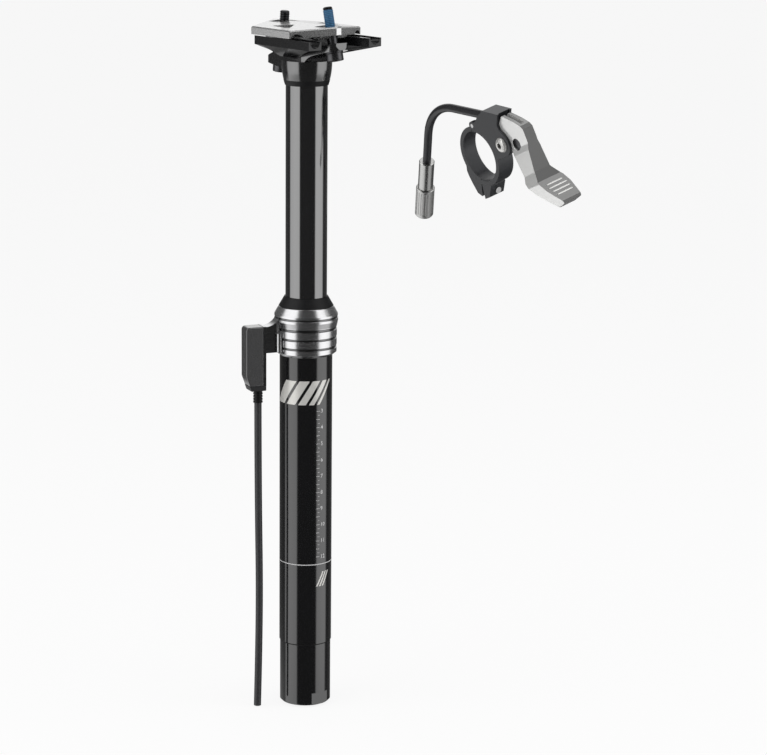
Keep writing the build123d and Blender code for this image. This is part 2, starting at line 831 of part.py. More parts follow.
# Lower cradle: two rail channels, a hull that narrows to the keel and a round belly
with BuildPart() as lower_cradle:
    with BuildSketch(Plane.XY.offset(keel_z)):
        Polygon(
            (keel_rear, keel_half_w),
            (keel_rear, -keel_half_w),
            (keel_front, -keel_half_w),
            (keel_front, -belly_half_w),
            (keel_front, belly_half_w),
            (keel_front, keel_half_w),
            align=None,
        )
    with BuildSketch(Plane.XY.offset(cradle_floor_z)):
        Polygon(
            (cradle_rear, cradle_half_w),
            (cradle_rear, -cradle_half_w),
            (cradle_front, -cradle_half_w),
            (notch_x, -belly_half_w),
            (notch_x, belly_half_w),
            (cradle_front, cradle_half_w),
            align=None,
        )
    loft(ruled=True)
    with BuildSketch(Plane.XY.offset(cradle_floor_z)):
        Polygon(
            (cradle_rear, cradle_half_w),
            (cradle_rear, -cradle_half_w),
            (cradle_front, -cradle_half_w),
            (cradle_front, -cradle_inner_y),
            (notch_x, -belly_half_w),
            (notch_x, belly_half_w),
            (cradle_front, cradle_inner_y),
            (cradle_front, cradle_half_w),
            align=None,
        )
    extrude(amount=cradle_top - cradle_floor_z)
    with BuildSketch(Plane.XY.offset(keel_z)):
        Rectangle(4 * cradle_front, 2 * belly_half_w)
    extrude(amount=cradle_floor_z - keel_z, mode=Mode.SUBTRACT)
    with BuildSketch(head_plane):
        with Locations((0, pivot_z)):
            Circle(belly_r)
        with Locations((0, cradle_top + belly_r)):
            Rectangle(4 * belly_r, 2 * belly_r, mode=Mode.SUBTRACT)
    extrude(amount=belly_half_w, both=True)
    with BuildSketch(Plane.YZ.offset(cradle_rear - cut_past)):
        with Locations((rail_y, rail_z), (-rail_y, rail_z)):
            Circle(rail_r)
    extrude(amount=cradle_front - cradle_rear + 2 * cut_past, mode=Mode.SUBTRACT)
lower_cradle.part.label = "lower_cradle"
export_step(lower_cradle.part, "parts/lower_cradle.step")

# Upper plate: a shallow roof with pointed ends, rail grooves, windows and nut troughs
plate_edge_top = plate_edge_z + plate_thick
trough_r = barrel_r + trough_gap
trough_half = barrel_len / 2 + trough_end
trough_low_z = barrel_z - trough_r - trough_wall

with BuildPart() as top_plate:
    with BuildSketch(Plane.YZ.offset(plate_mid_x - plate_nose_x)):
        Polygon(
            (-plate_half_w, plate_edge_z),
            (0, plate_edge_z + plate_roof),
            (plate_half_w, plate_edge_z),
            (plate_half_w, plate_edge_top),
            (0, plate_edge_top + plate_roof),
            (-plate_half_w, plate_edge_top),
            align=None,
        )
    extrude(amount=2 * plate_nose_x)
    with BuildSketch(head_plane):
        for nut_x in (nut_at_front, nut_at_rear):
            with Locations((nut_x, barrel_z)):
                Circle(trough_r + trough_wall)
        with Locations((0, plate_edge_z + plate_thick + trough_r)):
            Rectangle(4 * plate_nose_x, 2 * trough_r, mode=Mode.SUBTRACT)
    extrude(amount=trough_half + trough_wall, both=True)
    with BuildSketch(Plane.XY.offset(trough_low_z)):
        with Locations((plate_mid_x, 0)):
            Polygon(
                (plate_side_x, plate_half_w),
                (plate_nose_x, plate_nose_y),
                (plate_nose_x, -plate_nose_y),
                (plate_side_x, -plate_half_w),
                (-plate_side_x, -plate_half_w),
                (-plate_nose_x, -plate_nose_y),
                (-plate_nose_x, plate_nose_y),
                (-plate_side_x, plate_half_w),
                align=None,
            )
    extrude(amount=plate_edge_top + plate_roof - trough_low_z, mode=Mode.INTERSECT)
    chamfer(top_plate.faces().filter_by(lambda face: face.normal_at().Z > 0.5).edges(), plate_bevel)
    with BuildSketch(head_plane):
        for nut_x in (nut_at_front, nut_at_rear):
            with Locations((nut_x, barrel_z)):
                Circle(trough_r)
    extrude(amount=trough_half, both=True, mode=Mode.SUBTRACT)
    for seat, way in bolt_seats:
        with BuildSketch(bolt_plane(seat, way, front_boss_h)):
            SlotOverall(2 * (bolt_r + bolt_swing), 2 * (bolt_r + bolt_hole_gap), rotation=90)
        extrude(amount=rear_bolt_len, mode=Mode.SUBTRACT)
    with BuildSketch(Plane.YZ.offset(plate_mid_x - plate_nose_x)):
        with Locations((rail_y, rail_z), (-rail_y, rail_z)):
            Circle(rail_r)
    extrude(amount=2 * plate_nose_x, mode=Mode.SUBTRACT)
    with BuildSketch(Plane.XY.offset(plate_edge_z - cut_past)):
        for side in (1, -1):
            Polygon(
                (plate_mid_x - window_half, side * window_far),
                (plate_mid_x + window_half, side * window_far),
                (plate_mid_x, side * window_near),
                align=None,
            )
        fillet(vertices(), window_round)
    extrude(amount=plate_thick + plate_roof + 2 * cut_past, mode=Mode.SUBTRACT)
top_plate.part.label = "top_plate"
export_step(top_plate.part, "parts/top_plate.step")

# Clamp bolts with their washers, pushed up through the yoke's bosses
head_low = -washer_t - bolt_head_h

with BuildPart() as front_bolt:
    with BuildSketch(bolt_plane(front_seat, front_bolt_way, head_low)):
        Circle(bolt_head_r)
    extrude(amount=bolt_head_h)
    with BuildSketch(bolt_plane(front_seat, front_bolt_way, head_low)):
        Circle(bolt_r)
    extrude(amount=front_bolt_len)
    chamfer(front_bolt.faces().sort_by(Axis.Z)[-1].edges(), edge_break)
    with BuildSketch(bolt_plane(front_seat, front_bolt_way, head_low)):
        RegularPolygon(bolt_key / 2, 6, major_radius=False)
    extrude(amount=bolt_key_depth, mode=Mode.SUBTRACT)
front_bolt.part.label = "front_bolt"
export_step(front_bolt.part, "parts/front_bolt.step")

with BuildPart() as rear_bolt:
    with BuildSketch(bolt_plane(rear_seat, rear_bolt_way, head_low)):
        Circle(bolt_head_r)
    extrude(amount=bolt_head_h)
    with BuildSketch(bolt_plane(rear_seat, rear_bolt_way, head_low)):
        Circle(bolt_r)
    extrude(amount=rear_bolt_len)
    chamfer(rear_bolt.faces().sort_by(Axis.Z)[-1].edges(), edge_break)
    with BuildSketch(bolt_plane(rear_seat, rear_bolt_way, head_low)):
        RegularPolygon(bolt_key / 2, 6, major_radius=False)
    extrude(amount=bolt_key_depth, mode=Mode.SUBTRACT)
rear_bolt.part.label = "rear_bolt"
export_step(rear_bolt.part, "parts/rear_bolt.step")

with BuildPart() as bolt_washers:
    for seat, way in bolt_seats:
        with BuildSketch(bolt_plane(seat, way, -washer_t)):
            ring(washer_r, bolt_r)
        extrude(amount=washer_t)
bolt_washers.part.label = "bolt_washers"
export_step(bolt_washers.part, "parts/bolt_washers.step")

# Barrel nuts, flat on top, threaded on the bolts and lying in the plate's troughs
with BuildPart() as front_barrel_nut:
    with BuildSketch(head_plane):
        with Locations((nut_at_front, barrel_z)):
            Circle(barrel_r)
            with Locations((0, barrel_crown + barrel_r)):
                Rectangle(4 * barrel_r, 2 * barrel_r, mode=Mode.SUBTRACT)
    extrude(amount=barrel_len / 2, both=True)
    with BuildSketch(bolt_plane(front_seat, front_bolt_way, 0)):
        Circle(bolt_r + slide_gap)
    extrude(amount=front_bolt_len, mode=Mode.SUBTRACT)
front_barrel_nut.part.label = "front_barrel_nut"
export_step(front_barrel_nut.part, "parts/front_barrel_nut.step")

with BuildPart() as rear_barrel_nut:
    with BuildSketch(head_plane):
        with Locations((nut_at_rear, barrel_z)):
            Circle(barrel_r)
            with Locations((0, barrel_crown + barrel_r)):
                Rectangle(4 * barrel_r, 2 * barrel_r, mode=Mode.SUBTRACT)
    extrude(amount=barrel_len / 2, both=True)
    with BuildSketch(bolt_plane(rear_seat, rear_bolt_way, 0)):
        Circle(bolt_r + slide_gap)
    extrude(amount=rear_bolt_len, mode=Mode.SUBTRACT)
rear_barrel_nut.part.label = "rear_barrel_nut"
export_step(rear_barrel_nut.part, "parts/rear_barrel_nut.step")

# Outlines of the bar lever, as shares of the bar's radius or of the lever's own size
arm_outline_shares = [
    (0.37, 1.13), (0.53, 1.24), (0.79, 1.25), (1.06, 1.39), (1.51, 1.5), (2.38, 1.11), (2.23, 0.97),
    (2.04, 0.77), (2.04, 0.56), (2.18, 0.32), (2.2, -0.1), (1.64, -0.41), (1.13, -0.41), (0.9, 0),
]
arm_lug_shares = [(-0.12, -1.13), (-0.12, -1.23), (-0.55, -1.58), (-0.86, -1.57), (-0.6, -0.9), (-0.3, -0.95)]
band_lug_shares = [
    (-1.18, -0.1), (-1.3, -0.3), (-1.32, -0.5), (-1.3, -0.85), (-1.25, -1.24), (-1.07, -1.42), (-0.9, -1.45),
    (-0.6, -0.9), (-0.97, -0.7),
]
slot_shares = [
    (-0.11, 0), (0.014, 0.156), (0.036, 0.22), (0.14, 0.302), (0.22, 0.36), (0.3, -0.27), (-0.11, -0.27),
]
lever_shares = [
    (0.042, 0.141), (0.064, 0.203), (0.165, 0.269), (0.321, 0.165), (0.406, 0.095), (0.432, 0.05),
    (0.42, -0.061), (0.391, -0.182), (0.359, -0.391), (0.408, -0.502), (0.637, -0.771), (0.64, -0.8),
    (0.512, -0.825), (0.255, -0.561), (0.16, -0.467), (0.123, -0.262), (0.089, -0.102), (0, -0.09),
]
wire_slot_shares = [(0.03, 0.36), (0.33, 0.36), (0.385, 0.11), (0.25, -0.06), (0.18, -0.06), (0.05, 0.1)]


lever_front_steps = [
    (paddle_tip_w, -0.83), (paddle_w, -0.62), (paddle_w, -0.52), (lever_low_w, -0.4), (lever_mid_w, -0.16),
    (lever_w, -0.1), (lever_w, 0.5),
]

# Body of the bar lever: half the clamp, the fork of its hinge, the cable arm and two ears
slot_w = lever_w + 2 * ear_gap
screw_way = polar(1, split_angle + 90)
screw_mid = polar(clamp_screw_at, split_angle)
sketch_reach = 3 * bar_r

with BuildPart() as remote_body:
    with BuildSketch(remote_plane.offset(-body_w / 2)):
        Circle(clamp_r)
        Polygon(*outline(arm_outline_shares, bar_r), align=None)
        Polygon(*outline(arm_lug_shares, bar_r), align=None)
        with Locations(lever_pivot):
            Circle(ear_r)
        Circle(bar_r, mode=Mode.SUBTRACT)
        Polygon((0, 0), polar(sketch_reach, joint_angle), (-sketch_reach, sketch_reach),
                (-sketch_reach, -sketch_reach), polar(sketch_reach, split_angle),
                align=None, mode=Mode.SUBTRACT)
        with Locations(hinge_at):
            Circle(knuckle_r + knuckle_gap)
        Circle(bar_r, mode=Mode.SUBTRACT)
    extrude(amount=body_w)
    with BuildSketch(remote_plane.offset(-slot_w / 2)):
        with Locations(lever_pivot):
            Circle(lever_hub_r + ear_gap)
        Polygon(*outline(slot_shares, lever_size, lever_pivot), align=None)
    extrude(amount=slot_w, mode=Mode.SUBTRACT)
    with BuildSketch(remote_plane.offset(-knuckle_w / 2 - knuckle_gap / 2)):
        with Locations(hinge_at):
            Circle(knuckle_r + knuckle_gap)
        with Locations((0, hinge_at[1])):
            Rectangle(hinge_at[0] * 2, 2 * knuckle_r + 2 * knuckle_gap)
    extrude(amount=knuckle_w + knuckle_gap, mode=Mode.SUBTRACT)
    with BuildSketch(remote_plane.offset(-body_w / 2 - cut_past)):
        with Locations(hinge_at):
            Circle(hinge_pin_r)
        with Locations(lever_pivot):
            Circle(pivot_r)
    extrude(amount=body_w + 2 * cut_past, mode=Mode.SUBTRACT)
    elbow_way = remote_point(elbow_corner) - remote_point(elbow_start)
    with BuildSketch(Plane(origin=remote_point(elbow_start), z_dir=elbow_way)):
        Circle(elbow_r)
    extrude(amount=lever_size, mode=Mode.SUBTRACT)
    with BuildSketch(Plane(origin=remote_point(elbow_start), z_dir=elbow_way * -1)):
        Circle(elbow_bore_r)
    extrude(amount=lever_size / 2, mode=Mode.SUBTRACT)
    screw_start = (screw_mid[0] - screw_way[0] * clamp_screw_in, screw_mid[1] - screw_way[1] * clamp_screw_in)
    screw_axis = remote_point(screw_mid) - remote_point(screw_start)
    with BuildSketch(Plane(origin=remote_point(screw_mid), z_dir=screw_axis)):
        Circle(clamp_screw_r)
    extrude(amount=clamp_screw_out + cut_past, mode=Mode.SUBTRACT)
remote_body.part.label = "remote_body"
export_step(remote_body.part, "parts/remote_body.step")

# Clamp band: the hinged half of the clamp, with the screw's head sunk in its lug
with BuildPart() as clamp_band:
    with BuildSketch(remote_plane.offset(-clamp_w / 2)):
        Circle(clamp_r)
        Polygon(*outline(band_lug_shares, bar_r), align=None)
        Circle(bar_r, mode=Mode.SUBTRACT)
        Polygon((0, 0), polar(sketch_reach, split_angle), (sketch_reach, -sketch_reach),
                (sketch_reach, sketch_reach), polar(sketch_reach, joint_angle + joint_gap_angle),
                align=None, mode=Mode.SUBTRACT)
        with Locations(polar(1.5 * bar_r, split_angle)):
            Rectangle(bar_r, split_w * 2, rotation=split_angle, mode=Mode.SUBTRACT)
    extrude(amount=clamp_w)
    with BuildSketch(remote_plane.offset(-knuckle_w / 2)):
        with Locations(hinge_at):
            Circle(knuckle_r)
        Polygon(polar(bar_r, joint_angle + knuckle_in_angle), (hinge_at[0], hinge_at[1] - knuckle_r),
                (hinge_at[0], hinge_at[1] + knuckle_r),
                polar(clamp_r + edge_break, joint_angle + knuckle_out_angle), align=None)
        Circle(bar_r, mode=Mode.SUBTRACT)
    extrude(amount=knuckle_w)
    with BuildSketch(remote_plane.offset(-clamp_w / 2)):
        with Locations(hinge_at):
            Circle(hinge_pin_r)
    extrude(amount=clamp_w, mode=Mode.SUBTRACT)
    with BuildSketch(Plane(origin=remote_point(screw_start), z_dir=screw_axis)):
        Circle(clamp_screw_r + bore_gap)
    extrude(amount=2 * clamp_screw_in, mode=Mode.SUBTRACT)
    with BuildSketch(Plane(origin=remote_point(screw_start) - screw_axis.normalized() * cut_past,
                           z_dir=screw_axis)):
        Circle(clamp_screw_head_r + bore_gap)
    extrude(amount=clamp_screw_head_h + cut_past, mode=Mode.SUBTRACT)
clamp_band.part.label = "clamp_band"
export_step(clamp_band.part, "parts/clamp_band.step")

with BuildPart() as band_hinge_pin:
    with BuildSketch(remote_plane.offset(-body_w / 2)):
        with Locations(hinge_at):
            Circle(hinge_pin_r)
    extrude(amount=body_w)
band_hinge_pin.part.label = "band_hinge_pin"
export_step(band_hinge_pin.part, "parts/band_hinge_pin.step")

with BuildPart() as clamp_screw:
    with BuildSketch(Plane(origin=remote_point(screw_start), z_dir=screw_axis)):
        Circle(clamp_screw_head_r)
    extrude(amount=clamp_screw_head_h)
    with BuildSketch(Plane(origin=remote_point(screw_start), z_dir=screw_axis)):
        Circle(clamp_screw_r)
    extrude(amount=clamp_screw_in + clamp_screw_out)
    with BuildSketch(Plane(origin=remote_point(screw_start), z_dir=screw_axis)):
        RegularPolygon(clamp_screw_key / 2, 6, major_radius=False)
    extrude(amount=clamp_screw_head_h / 2, mode=Mode.SUBTRACT)
clamp_screw.part.label = "clamp_screw"
export_step(clamp_screw.part, "parts/clamp_screw.step")

# Thumb lever: its side outline cut to its front outline, slotted for the wire
bush_r = pivot_r + bush_wall
lever_front_right = [(width / 2, lever_size * share) for width, share in lever_front_steps]
lever_front_left = [(-width, height) for width, height in reversed(lever_front_right)]

with BuildPart() as thumb_lever:
    with BuildSketch(remote_plane.offset(-paddle_w / 2)):
        Polygon(*outline(lever_shares, lever_size, lever_pivot), align=None)
        fillet(vertices(), lever_round)
        with Locations(lever_pivot):
            Circle(lever_hub_r)
    extrude(amount=paddle_w)
    with BuildSketch(lever_front_plane):
        with Locations((0, lever_pivot[1])):
            Polygon(*lever_front_left, *lever_front_right, align=None)
            fillet(vertices(), lever_front_round)
    extrude(amount=2 * lever_size, mode=Mode.INTERSECT)
    with BuildSketch(remote_plane.offset(-lever_slot_w / 2)):
        Polygon(*outline(wire_slot_shares, lever_size, lever_pivot), align=None)
    extrude(amount=lever_slot_w, mode=Mode.SUBTRACT)
    with BuildSketch(remote_plane.offset(-paddle_w / 2)):
        with Locations(lever_pivot):
            Circle(bush_r)
        with Locations(anchor_at):
            Circle(anchor_r)
    extrude(amount=paddle_w, mode=Mode.SUBTRACT)
    with BuildSketch(remote_plane.offset(-lever_w / 2)):
        with Locations(lever_pivot):
            Circle(spring_pocket_r)
    extrude(amount=spring_pocket_h, mode=Mode.SUBTRACT)
thumb_lever.part.label = "thumb_lever"
export_step(thumb_lever.part, "parts/thumb_lever.step")

with BuildPart() as lever_bush:
    with BuildSketch(remote_plane.offset(-slot_w / 2 + bush_gap)):
        with Locations(lever_pivot):
            ring(bush_r, pivot_r + slide_gap)
    extrude(amount=slot_w - 2 * bush_gap)
lever_bush.part.label = "lever_bush"
export_step(lever_bush.part, "parts/lever_bush.step")

with BuildPart() as pivot_bolt:
    with BuildSketch(remote_plane.offset(-body_w / 2)):
        with Locations(lever_pivot):
            Circle(pivot_r)
    extrude(amount=body_w)
    with BuildSketch(remote_plane.offset(body_w / 2)):
        with Locations(lever_pivot):
            Circle(pivot_head_r)
    extrude(amount=pivot_head_h, taper=pivot_head_taper)
    with BuildSketch(remote_plane.offset(body_w / 2 + pivot_head_h)):
        with Locations(lever_pivot):
            RegularPolygon(pivot_key / 2, 6, major_radius=False)
    extrude(amount=-pivot_head_h, mode=Mode.SUBTRACT)
pivot_bolt.part.label = "pivot_bolt"
export_step(pivot_bolt.part, "parts/pivot_bolt.step")

# Torsion spring of the lever, coiled round the bush against the far ear
lever_spring_base = remote_plane.offset(-slot_w / 2 + lever_spring_wire_r + bush_gap)
lever_spring_center = lever_spring_base.from_local_coords(Vector(*lever_pivot, 0))
lever_spring_len = spring_pocket_h - 2 * lever_spring_wire_r

with BuildPart() as lever_spring:
    with BuildLine():
        turns = Helix(lever_spring_pitch, lever_spring_len, lever_spring_r,
                      center=lever_spring_center, direction=bar_way * -1)
    with BuildSketch(Plane(origin=turns @ 0, z_dir=turns % 0)):
        Circle(lever_spring_wire_r)
    sweep(path=turns, is_frenet=True)
lever_spring.part.label = "lever_spring"
export_step(lever_spring.part, "parts/lever_spring.step")

# Cable anchor: a cross-drilled barrel in the lever, with its grub screw
with BuildPart() as cable_anchor:
    with BuildSketch(remote_plane.offset(-anchor_len / 2)):
        with Locations(anchor_at):
            Circle(anchor_r)
    extrude(amount=anchor_len)
    with BuildSketch(remote_plane):
        with Locations(anchor_at):
            Circle(anchor_screw_r)
    extrude(amount=anchor_len / 2, mode=Mode.SUBTRACT)
    anchor_center = remote_point(anchor_at)
    with BuildSketch(Plane(origin=anchor_center, z_dir=remote_plane.y_dir)):
        Circle(wire_r + bore_gap)
    extrude(amount=anchor_r + cut_past, both=True, mode=Mode.SUBTRACT)
cable_anchor.part.label = "cable_anchor"
export_step(cable_anchor.part, "parts/cable_anchor.step")

with BuildPart() as anchor_screw:
    with BuildSketch(remote_plane.offset(anchor_len / 2 - anchor_screw_len + wire_r)):
        with Locations(anchor_at):
            Circle(anchor_screw_r)
    extrude(amount=anchor_screw_len - wire_r)
anchor_screw.part.label = "anchor_screw"
export_step(anchor_screw.part, "parts/anchor_screw.step")

# Cable elbow: a bent tube from the cable arm down into the adjuster's sleeve
sleeve_way = (remote_point(sleeve_at) - remote_point(elbow_corner)).normalized()
sleeve_plane = Plane(origin=remote_point(sleeve_at), z_dir=sleeve_way)
sleeve_axis = Axis(remote_point(sleeve_at), sleeve_way)
elbow_points = [remote_point(elbow_start), remote_point(elbow_corner),
                remote_point(sleeve_at) + sleeve_way * elbow_grip]

with BuildPart() as cable_elbow:
    with BuildLine():
        elbow_line = FilletPolyline(*elbow_points, radius=elbow_bend)
    with BuildSketch(Plane(origin=elbow_line @ 0, z_dir=elbow_line % 0)):
        ring(elbow_r, elbow_bore_r)
    sweep(path=elbow_line)
cable_elbow.part.label = "cable_elbow"
export_step(cable_elbow.part, "parts/cable_elbow.step")

# Adjuster sleeve, pushed over the elbow, with a threaded stub for the barrel
with BuildPart() as adjuster_sleeve:
    with BuildSketch(sleeve_plane):
        Circle(sleeve_r)
    extrude(amount=sleeve_len)
    chamfer(adjuster_sleeve.edges(), edge_break)
    with BuildSketch(sleeve_plane.offset(sleeve_len)):
        Circle(sleeve_stub_r)
    extrude(amount=sleeve_stub_len)
    with BuildSketch(sleeve_plane):
        Circle(elbow_bore_r)
    extrude(amount=sleeve_len + sleeve_stub_len, mode=Mode.SUBTRACT)
    with BuildSketch(sleeve_plane):
        Circle(elbow_r)
    extrude(amount=elbow_grip, mode=Mode.SUBTRACT)
adjuster_sleeve.part.label = "adjuster_sleeve"
export_step(adjuster_sleeve.part, "parts/adjuster_sleeve.step")

# Barrel adjuster, fluted for the fingers, with the socket for the cable's housing
barrel_plane = sleeve_plane.offset(sleeve_len + bush_gap)

with BuildPart() as adjuster_barrel:
    with BuildSketch(barrel_plane):
        Circle(barrel_adjust_r)
    extrude(amount=barrel_adjust_len)
    fillet(adjuster_barrel.faces().sort_by(sleeve_axis)[-1].edges(), barrel_round)
    chamfer(adjuster_barrel.faces().sort_by(sleeve_axis)[0].edges(), edge_break)
    with BuildSketch(barrel_plane.offset(barrel_round)):
        with PolarLocations(barrel_adjust_r + flute_r / 2, flute_count):
            Circle(flute_r)
    extrude(amount=barrel_adjust_len - 3 * barrel_round, mode=Mode.SUBTRACT)
    with BuildSketch(barrel_plane):
        Circle(sleeve_stub_r + slide_gap)
    extrude(amount=sleeve_stub_len, mode=Mode.SUBTRACT)
    with BuildSketch(barrel_plane):
        Circle(elbow_bore_r)
    extrude(amount=barrel_adjust_len, mode=Mode.SUBTRACT)
    with BuildSketch(barrel_plane.offset(barrel_adjust_len)):
        Circle(socket_r)
    extrude(amount=-socket_depth, mode=Mode.SUBTRACT)
adjuster_barrel.part.label = "adjuster_barrel"
export_step(adjuster_barrel.part, "parts/adjuster_barrel.step")
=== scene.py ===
# %% [markdown]
# # Dressing a dropper seatpost
#
# A dropper seatpost is a telescopic post under a bicycle saddle. A thumb lever on the handlebar pulls a
# cable, the cable draws a lock pin, and the black inner tube slides in the outer one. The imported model
# brings every piece in its place. These cells give it a camera, light, finishes and the fine shapes.

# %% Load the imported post
import json
import math

import bmesh
import bpy
import numpy as np
from mathutils import Matrix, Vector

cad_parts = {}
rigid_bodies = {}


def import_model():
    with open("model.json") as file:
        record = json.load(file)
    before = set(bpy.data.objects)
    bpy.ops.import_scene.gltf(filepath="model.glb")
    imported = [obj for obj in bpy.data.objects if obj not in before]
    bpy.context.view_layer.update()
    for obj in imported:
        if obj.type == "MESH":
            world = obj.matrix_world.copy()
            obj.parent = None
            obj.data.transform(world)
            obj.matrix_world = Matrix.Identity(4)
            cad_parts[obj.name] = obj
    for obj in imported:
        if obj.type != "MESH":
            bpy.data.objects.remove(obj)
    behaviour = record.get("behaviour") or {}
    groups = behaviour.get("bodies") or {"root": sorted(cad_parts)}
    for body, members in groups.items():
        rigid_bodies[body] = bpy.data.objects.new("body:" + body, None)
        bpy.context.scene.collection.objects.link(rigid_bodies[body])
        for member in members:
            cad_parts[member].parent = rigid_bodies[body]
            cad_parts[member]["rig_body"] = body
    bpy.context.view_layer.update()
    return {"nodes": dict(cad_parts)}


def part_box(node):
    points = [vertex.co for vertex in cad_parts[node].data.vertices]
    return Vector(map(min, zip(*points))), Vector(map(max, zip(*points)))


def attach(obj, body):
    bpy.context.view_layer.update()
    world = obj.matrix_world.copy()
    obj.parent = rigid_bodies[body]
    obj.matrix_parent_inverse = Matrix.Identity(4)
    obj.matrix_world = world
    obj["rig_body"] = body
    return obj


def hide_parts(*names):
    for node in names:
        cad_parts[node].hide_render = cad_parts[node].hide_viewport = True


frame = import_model()
nodes = frame["nodes"]
mm = 0.001
print("pieces from the frame:", len(nodes))

# %% [markdown]
# ## Camera
#
# The photograph was taken from the right and a little above. A camera can be aimed by a constraint or by
# a matrix. A matrix is used here, because it also takes the small roll, and its three axes come straight
# from two angles. A long lens keeps the two tubes nearly parallel.

# %% Camera
def put_in_scene(name, data):
    """A new object that holds some data, linked to the scene."""
    made = bpy.data.objects.new(name, data)
    bpy.context.scene.collection.objects.link(made)
    return made


def placed(first, second, third, spot):
    """A 4 by 4 matrix with three axes and a place as its columns."""
    table = np.eye(4)
    table[:3] = np.column_stack([first, second, third, spot])
    return Matrix(table.tolist())


def direction(around, up=0.0):
    """A unit vector at an angle around +Z, counted from +X, and an angle above the level, in degrees."""
    around, up = math.radians(around), math.radians(up)
    return np.array([math.cos(up) * math.cos(around), math.cos(up) * math.sin(around), math.sin(up)])


turn, tip = 50.6, 12.5
roll = 0.009
aim_aside, aim_height, distance = 46.4 * mm, -14.6 * mm, 1675 * mm
side = direction(turn)
look = direction(turn + 90, -tip)
rise = np.cross(side, look)
stand = side * aim_aside + np.array([0.0, 0.0, aim_height]) - look * distance
right = math.cos(roll) * side + math.sin(roll) * rise
upward = math.cos(roll) * rise - math.sin(roll) * side

lens = bpy.data.cameras.new("camera")
lens.sensor_fit = "HORIZONTAL"
lens.sensor_width = 36
lens.lens = 131.4
lens.clip_end = 20
camera = put_in_scene("camera", lens)
camera.matrix_world = placed(right, upward, -look, stand)
bpy.context.scene.camera = camera
bpy.context.scene.view_settings.view_transform = "Standard"
print("camera stands at", stand.round(3))

# %% [markdown]
# ## Cable
#
# The cable's housing comes out of the ribbed boot and hangs straight down beside the tube. A simulation
# would add nothing to a stiff cable this short. So it is a curve with the same few points as the solid's
# route, and a round bevel gives it its thickness: one unit deep, scaled by each point's radius.

# %% Cable
box_way = direction(-106)
box_out = 30.7
cable_radius = 2.2
cable_route = np.array([(0, 0, -27.6), (0, 0, -52), (0.7, -0.2, -96), (1.0, 0.3, -140), (0.5, 0.1, -183),
                        (-0.4, -0.3, -217)]) * mm + box_way * box_out * mm
cable_curve = bpy.data.curves.new("cable", "CURVE")
cable_curve.dimensions = "3D"
cable_curve.resolution_u = 24
cable_curve.bevel_depth = 1.0
cable_curve.bevel_resolution = 8
cable_curve.use_fill_caps = True
cable_line = cable_curve.splines.new("NURBS")
cable_line.points.add(len(cable_route) - 1)
cable_line.points.foreach_set("co", np.column_stack([cable_route, np.ones(len(cable_route))]).ravel())
cable_line.points.foreach_set("radius", np.full(len(cable_route), cable_radius * mm))
cable_line.order_u = 3
cable_line.use_endpoint_u = True
cable = put_in_scene("cable", cable_curve)
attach(cable, "post")
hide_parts("cable_housing")
print("cable points:", len(cable_route))

# %% [markdown]
# ## Shader nodes
#
# Every finish and the backdrop are small trees of shader nodes. Making and linking each node by hand takes
# several lines, so a few helpers say in one line what a node does, and return the socket to use next.

# %% Node helpers
def new_material(name):
    """A node material, its tree and its Principled shader."""
    made = bpy.data.materials.new(name)
    made.use_nodes = True
    return made, made.node_tree, made.node_tree.nodes["Principled BSDF"]


def add_node(tree, kind, inputs=(), **settings):
    """A node with its settings, and its inputs given by name as values or as sockets to link."""
    node = tree.nodes.new(kind)
    for key, value in settings.items():
        setattr(node, key, value)
    for key, value in dict(inputs).items():
        if isinstance(value, bpy.types.NodeSocket):
            tree.links.new(value, node.inputs[key])
        else:
            node.inputs[key].default_value = value
    return node


def math_of(tree, operation, *values):
    """The result of a Math node on one or two values or sockets."""
    return add_node(tree, "ShaderNodeMath", enumerate(values), operation=operation).outputs[0]


def share_between(tree, value, low, high):
    """0 where the value is at the low end, 1 at the high end, and even between them."""
    inputs = {"Value": value, "From Min": low, "From Max": high}
    return add_node(tree, "ShaderNodeMapRange", inputs).outputs[0]


def dot(tree, vector, way):
    """The share of a vector socket along a fixed direction, which is their dot product."""
    node = add_node(tree, "ShaderNodeVectorMath", {0: vector, 1: tuple(way)}, operation="DOT_PRODUCT")
    return node.outputs["Value"]


def grey(level):
    """A level as an opaque colour."""
    return level, level, level, 1


print("node helpers ready")

# %% [markdown]
# ## What polished metal sees
#
# Black gloss and bright metal look like what stands round them. In a studio that is a dark room with two
# tall white panels, which draw the long stripes on both tubes, and a fainter one behind, which lights the
# edges of the outline. Real panels would show in the picture. So the room is painted in the backdrop
# instead, and only glossy rays see it: three rings of light round the post, at eye level, above and below.

# %% Studio glow
front = direction(turn - 90)
leftward = -side
glow_top = 1.3
wall_steps = [(-171, 0.6), (-160, 0.1), (-108, 0.06), (-99, 1.1), (-75, 1.3), (-54, 1.25), (-48, 0.045),
              (34, 0.045), (39, 1.25), (65, 1.3), (95, 1.1), (103, 0.06), (160, 0.1), (171, 0.6)]
ceiling_steps = [(-165, 1.0), (-150, 0.1), (-104, 0.1), (-97, 1.1), (-54, 1.25), (-48, 0.045), (34, 0.045),
                 (39, 1.25), (95, 1.2), (103, 0.1), (150, 0.1), (165, 1.0)]
floor_steps = [(-110, 0.06), (-99, 0.5), (-54, 0.5), (-48, 0.05), (34, 0.05), (39, 0.6), (95, 0.95),
               (145, 0.95), (160, 0.1)]
ceiling_ring = (ceiling_steps, 0.0, 0.12)
floor_ring = (floor_steps, -0.3, -0.42)


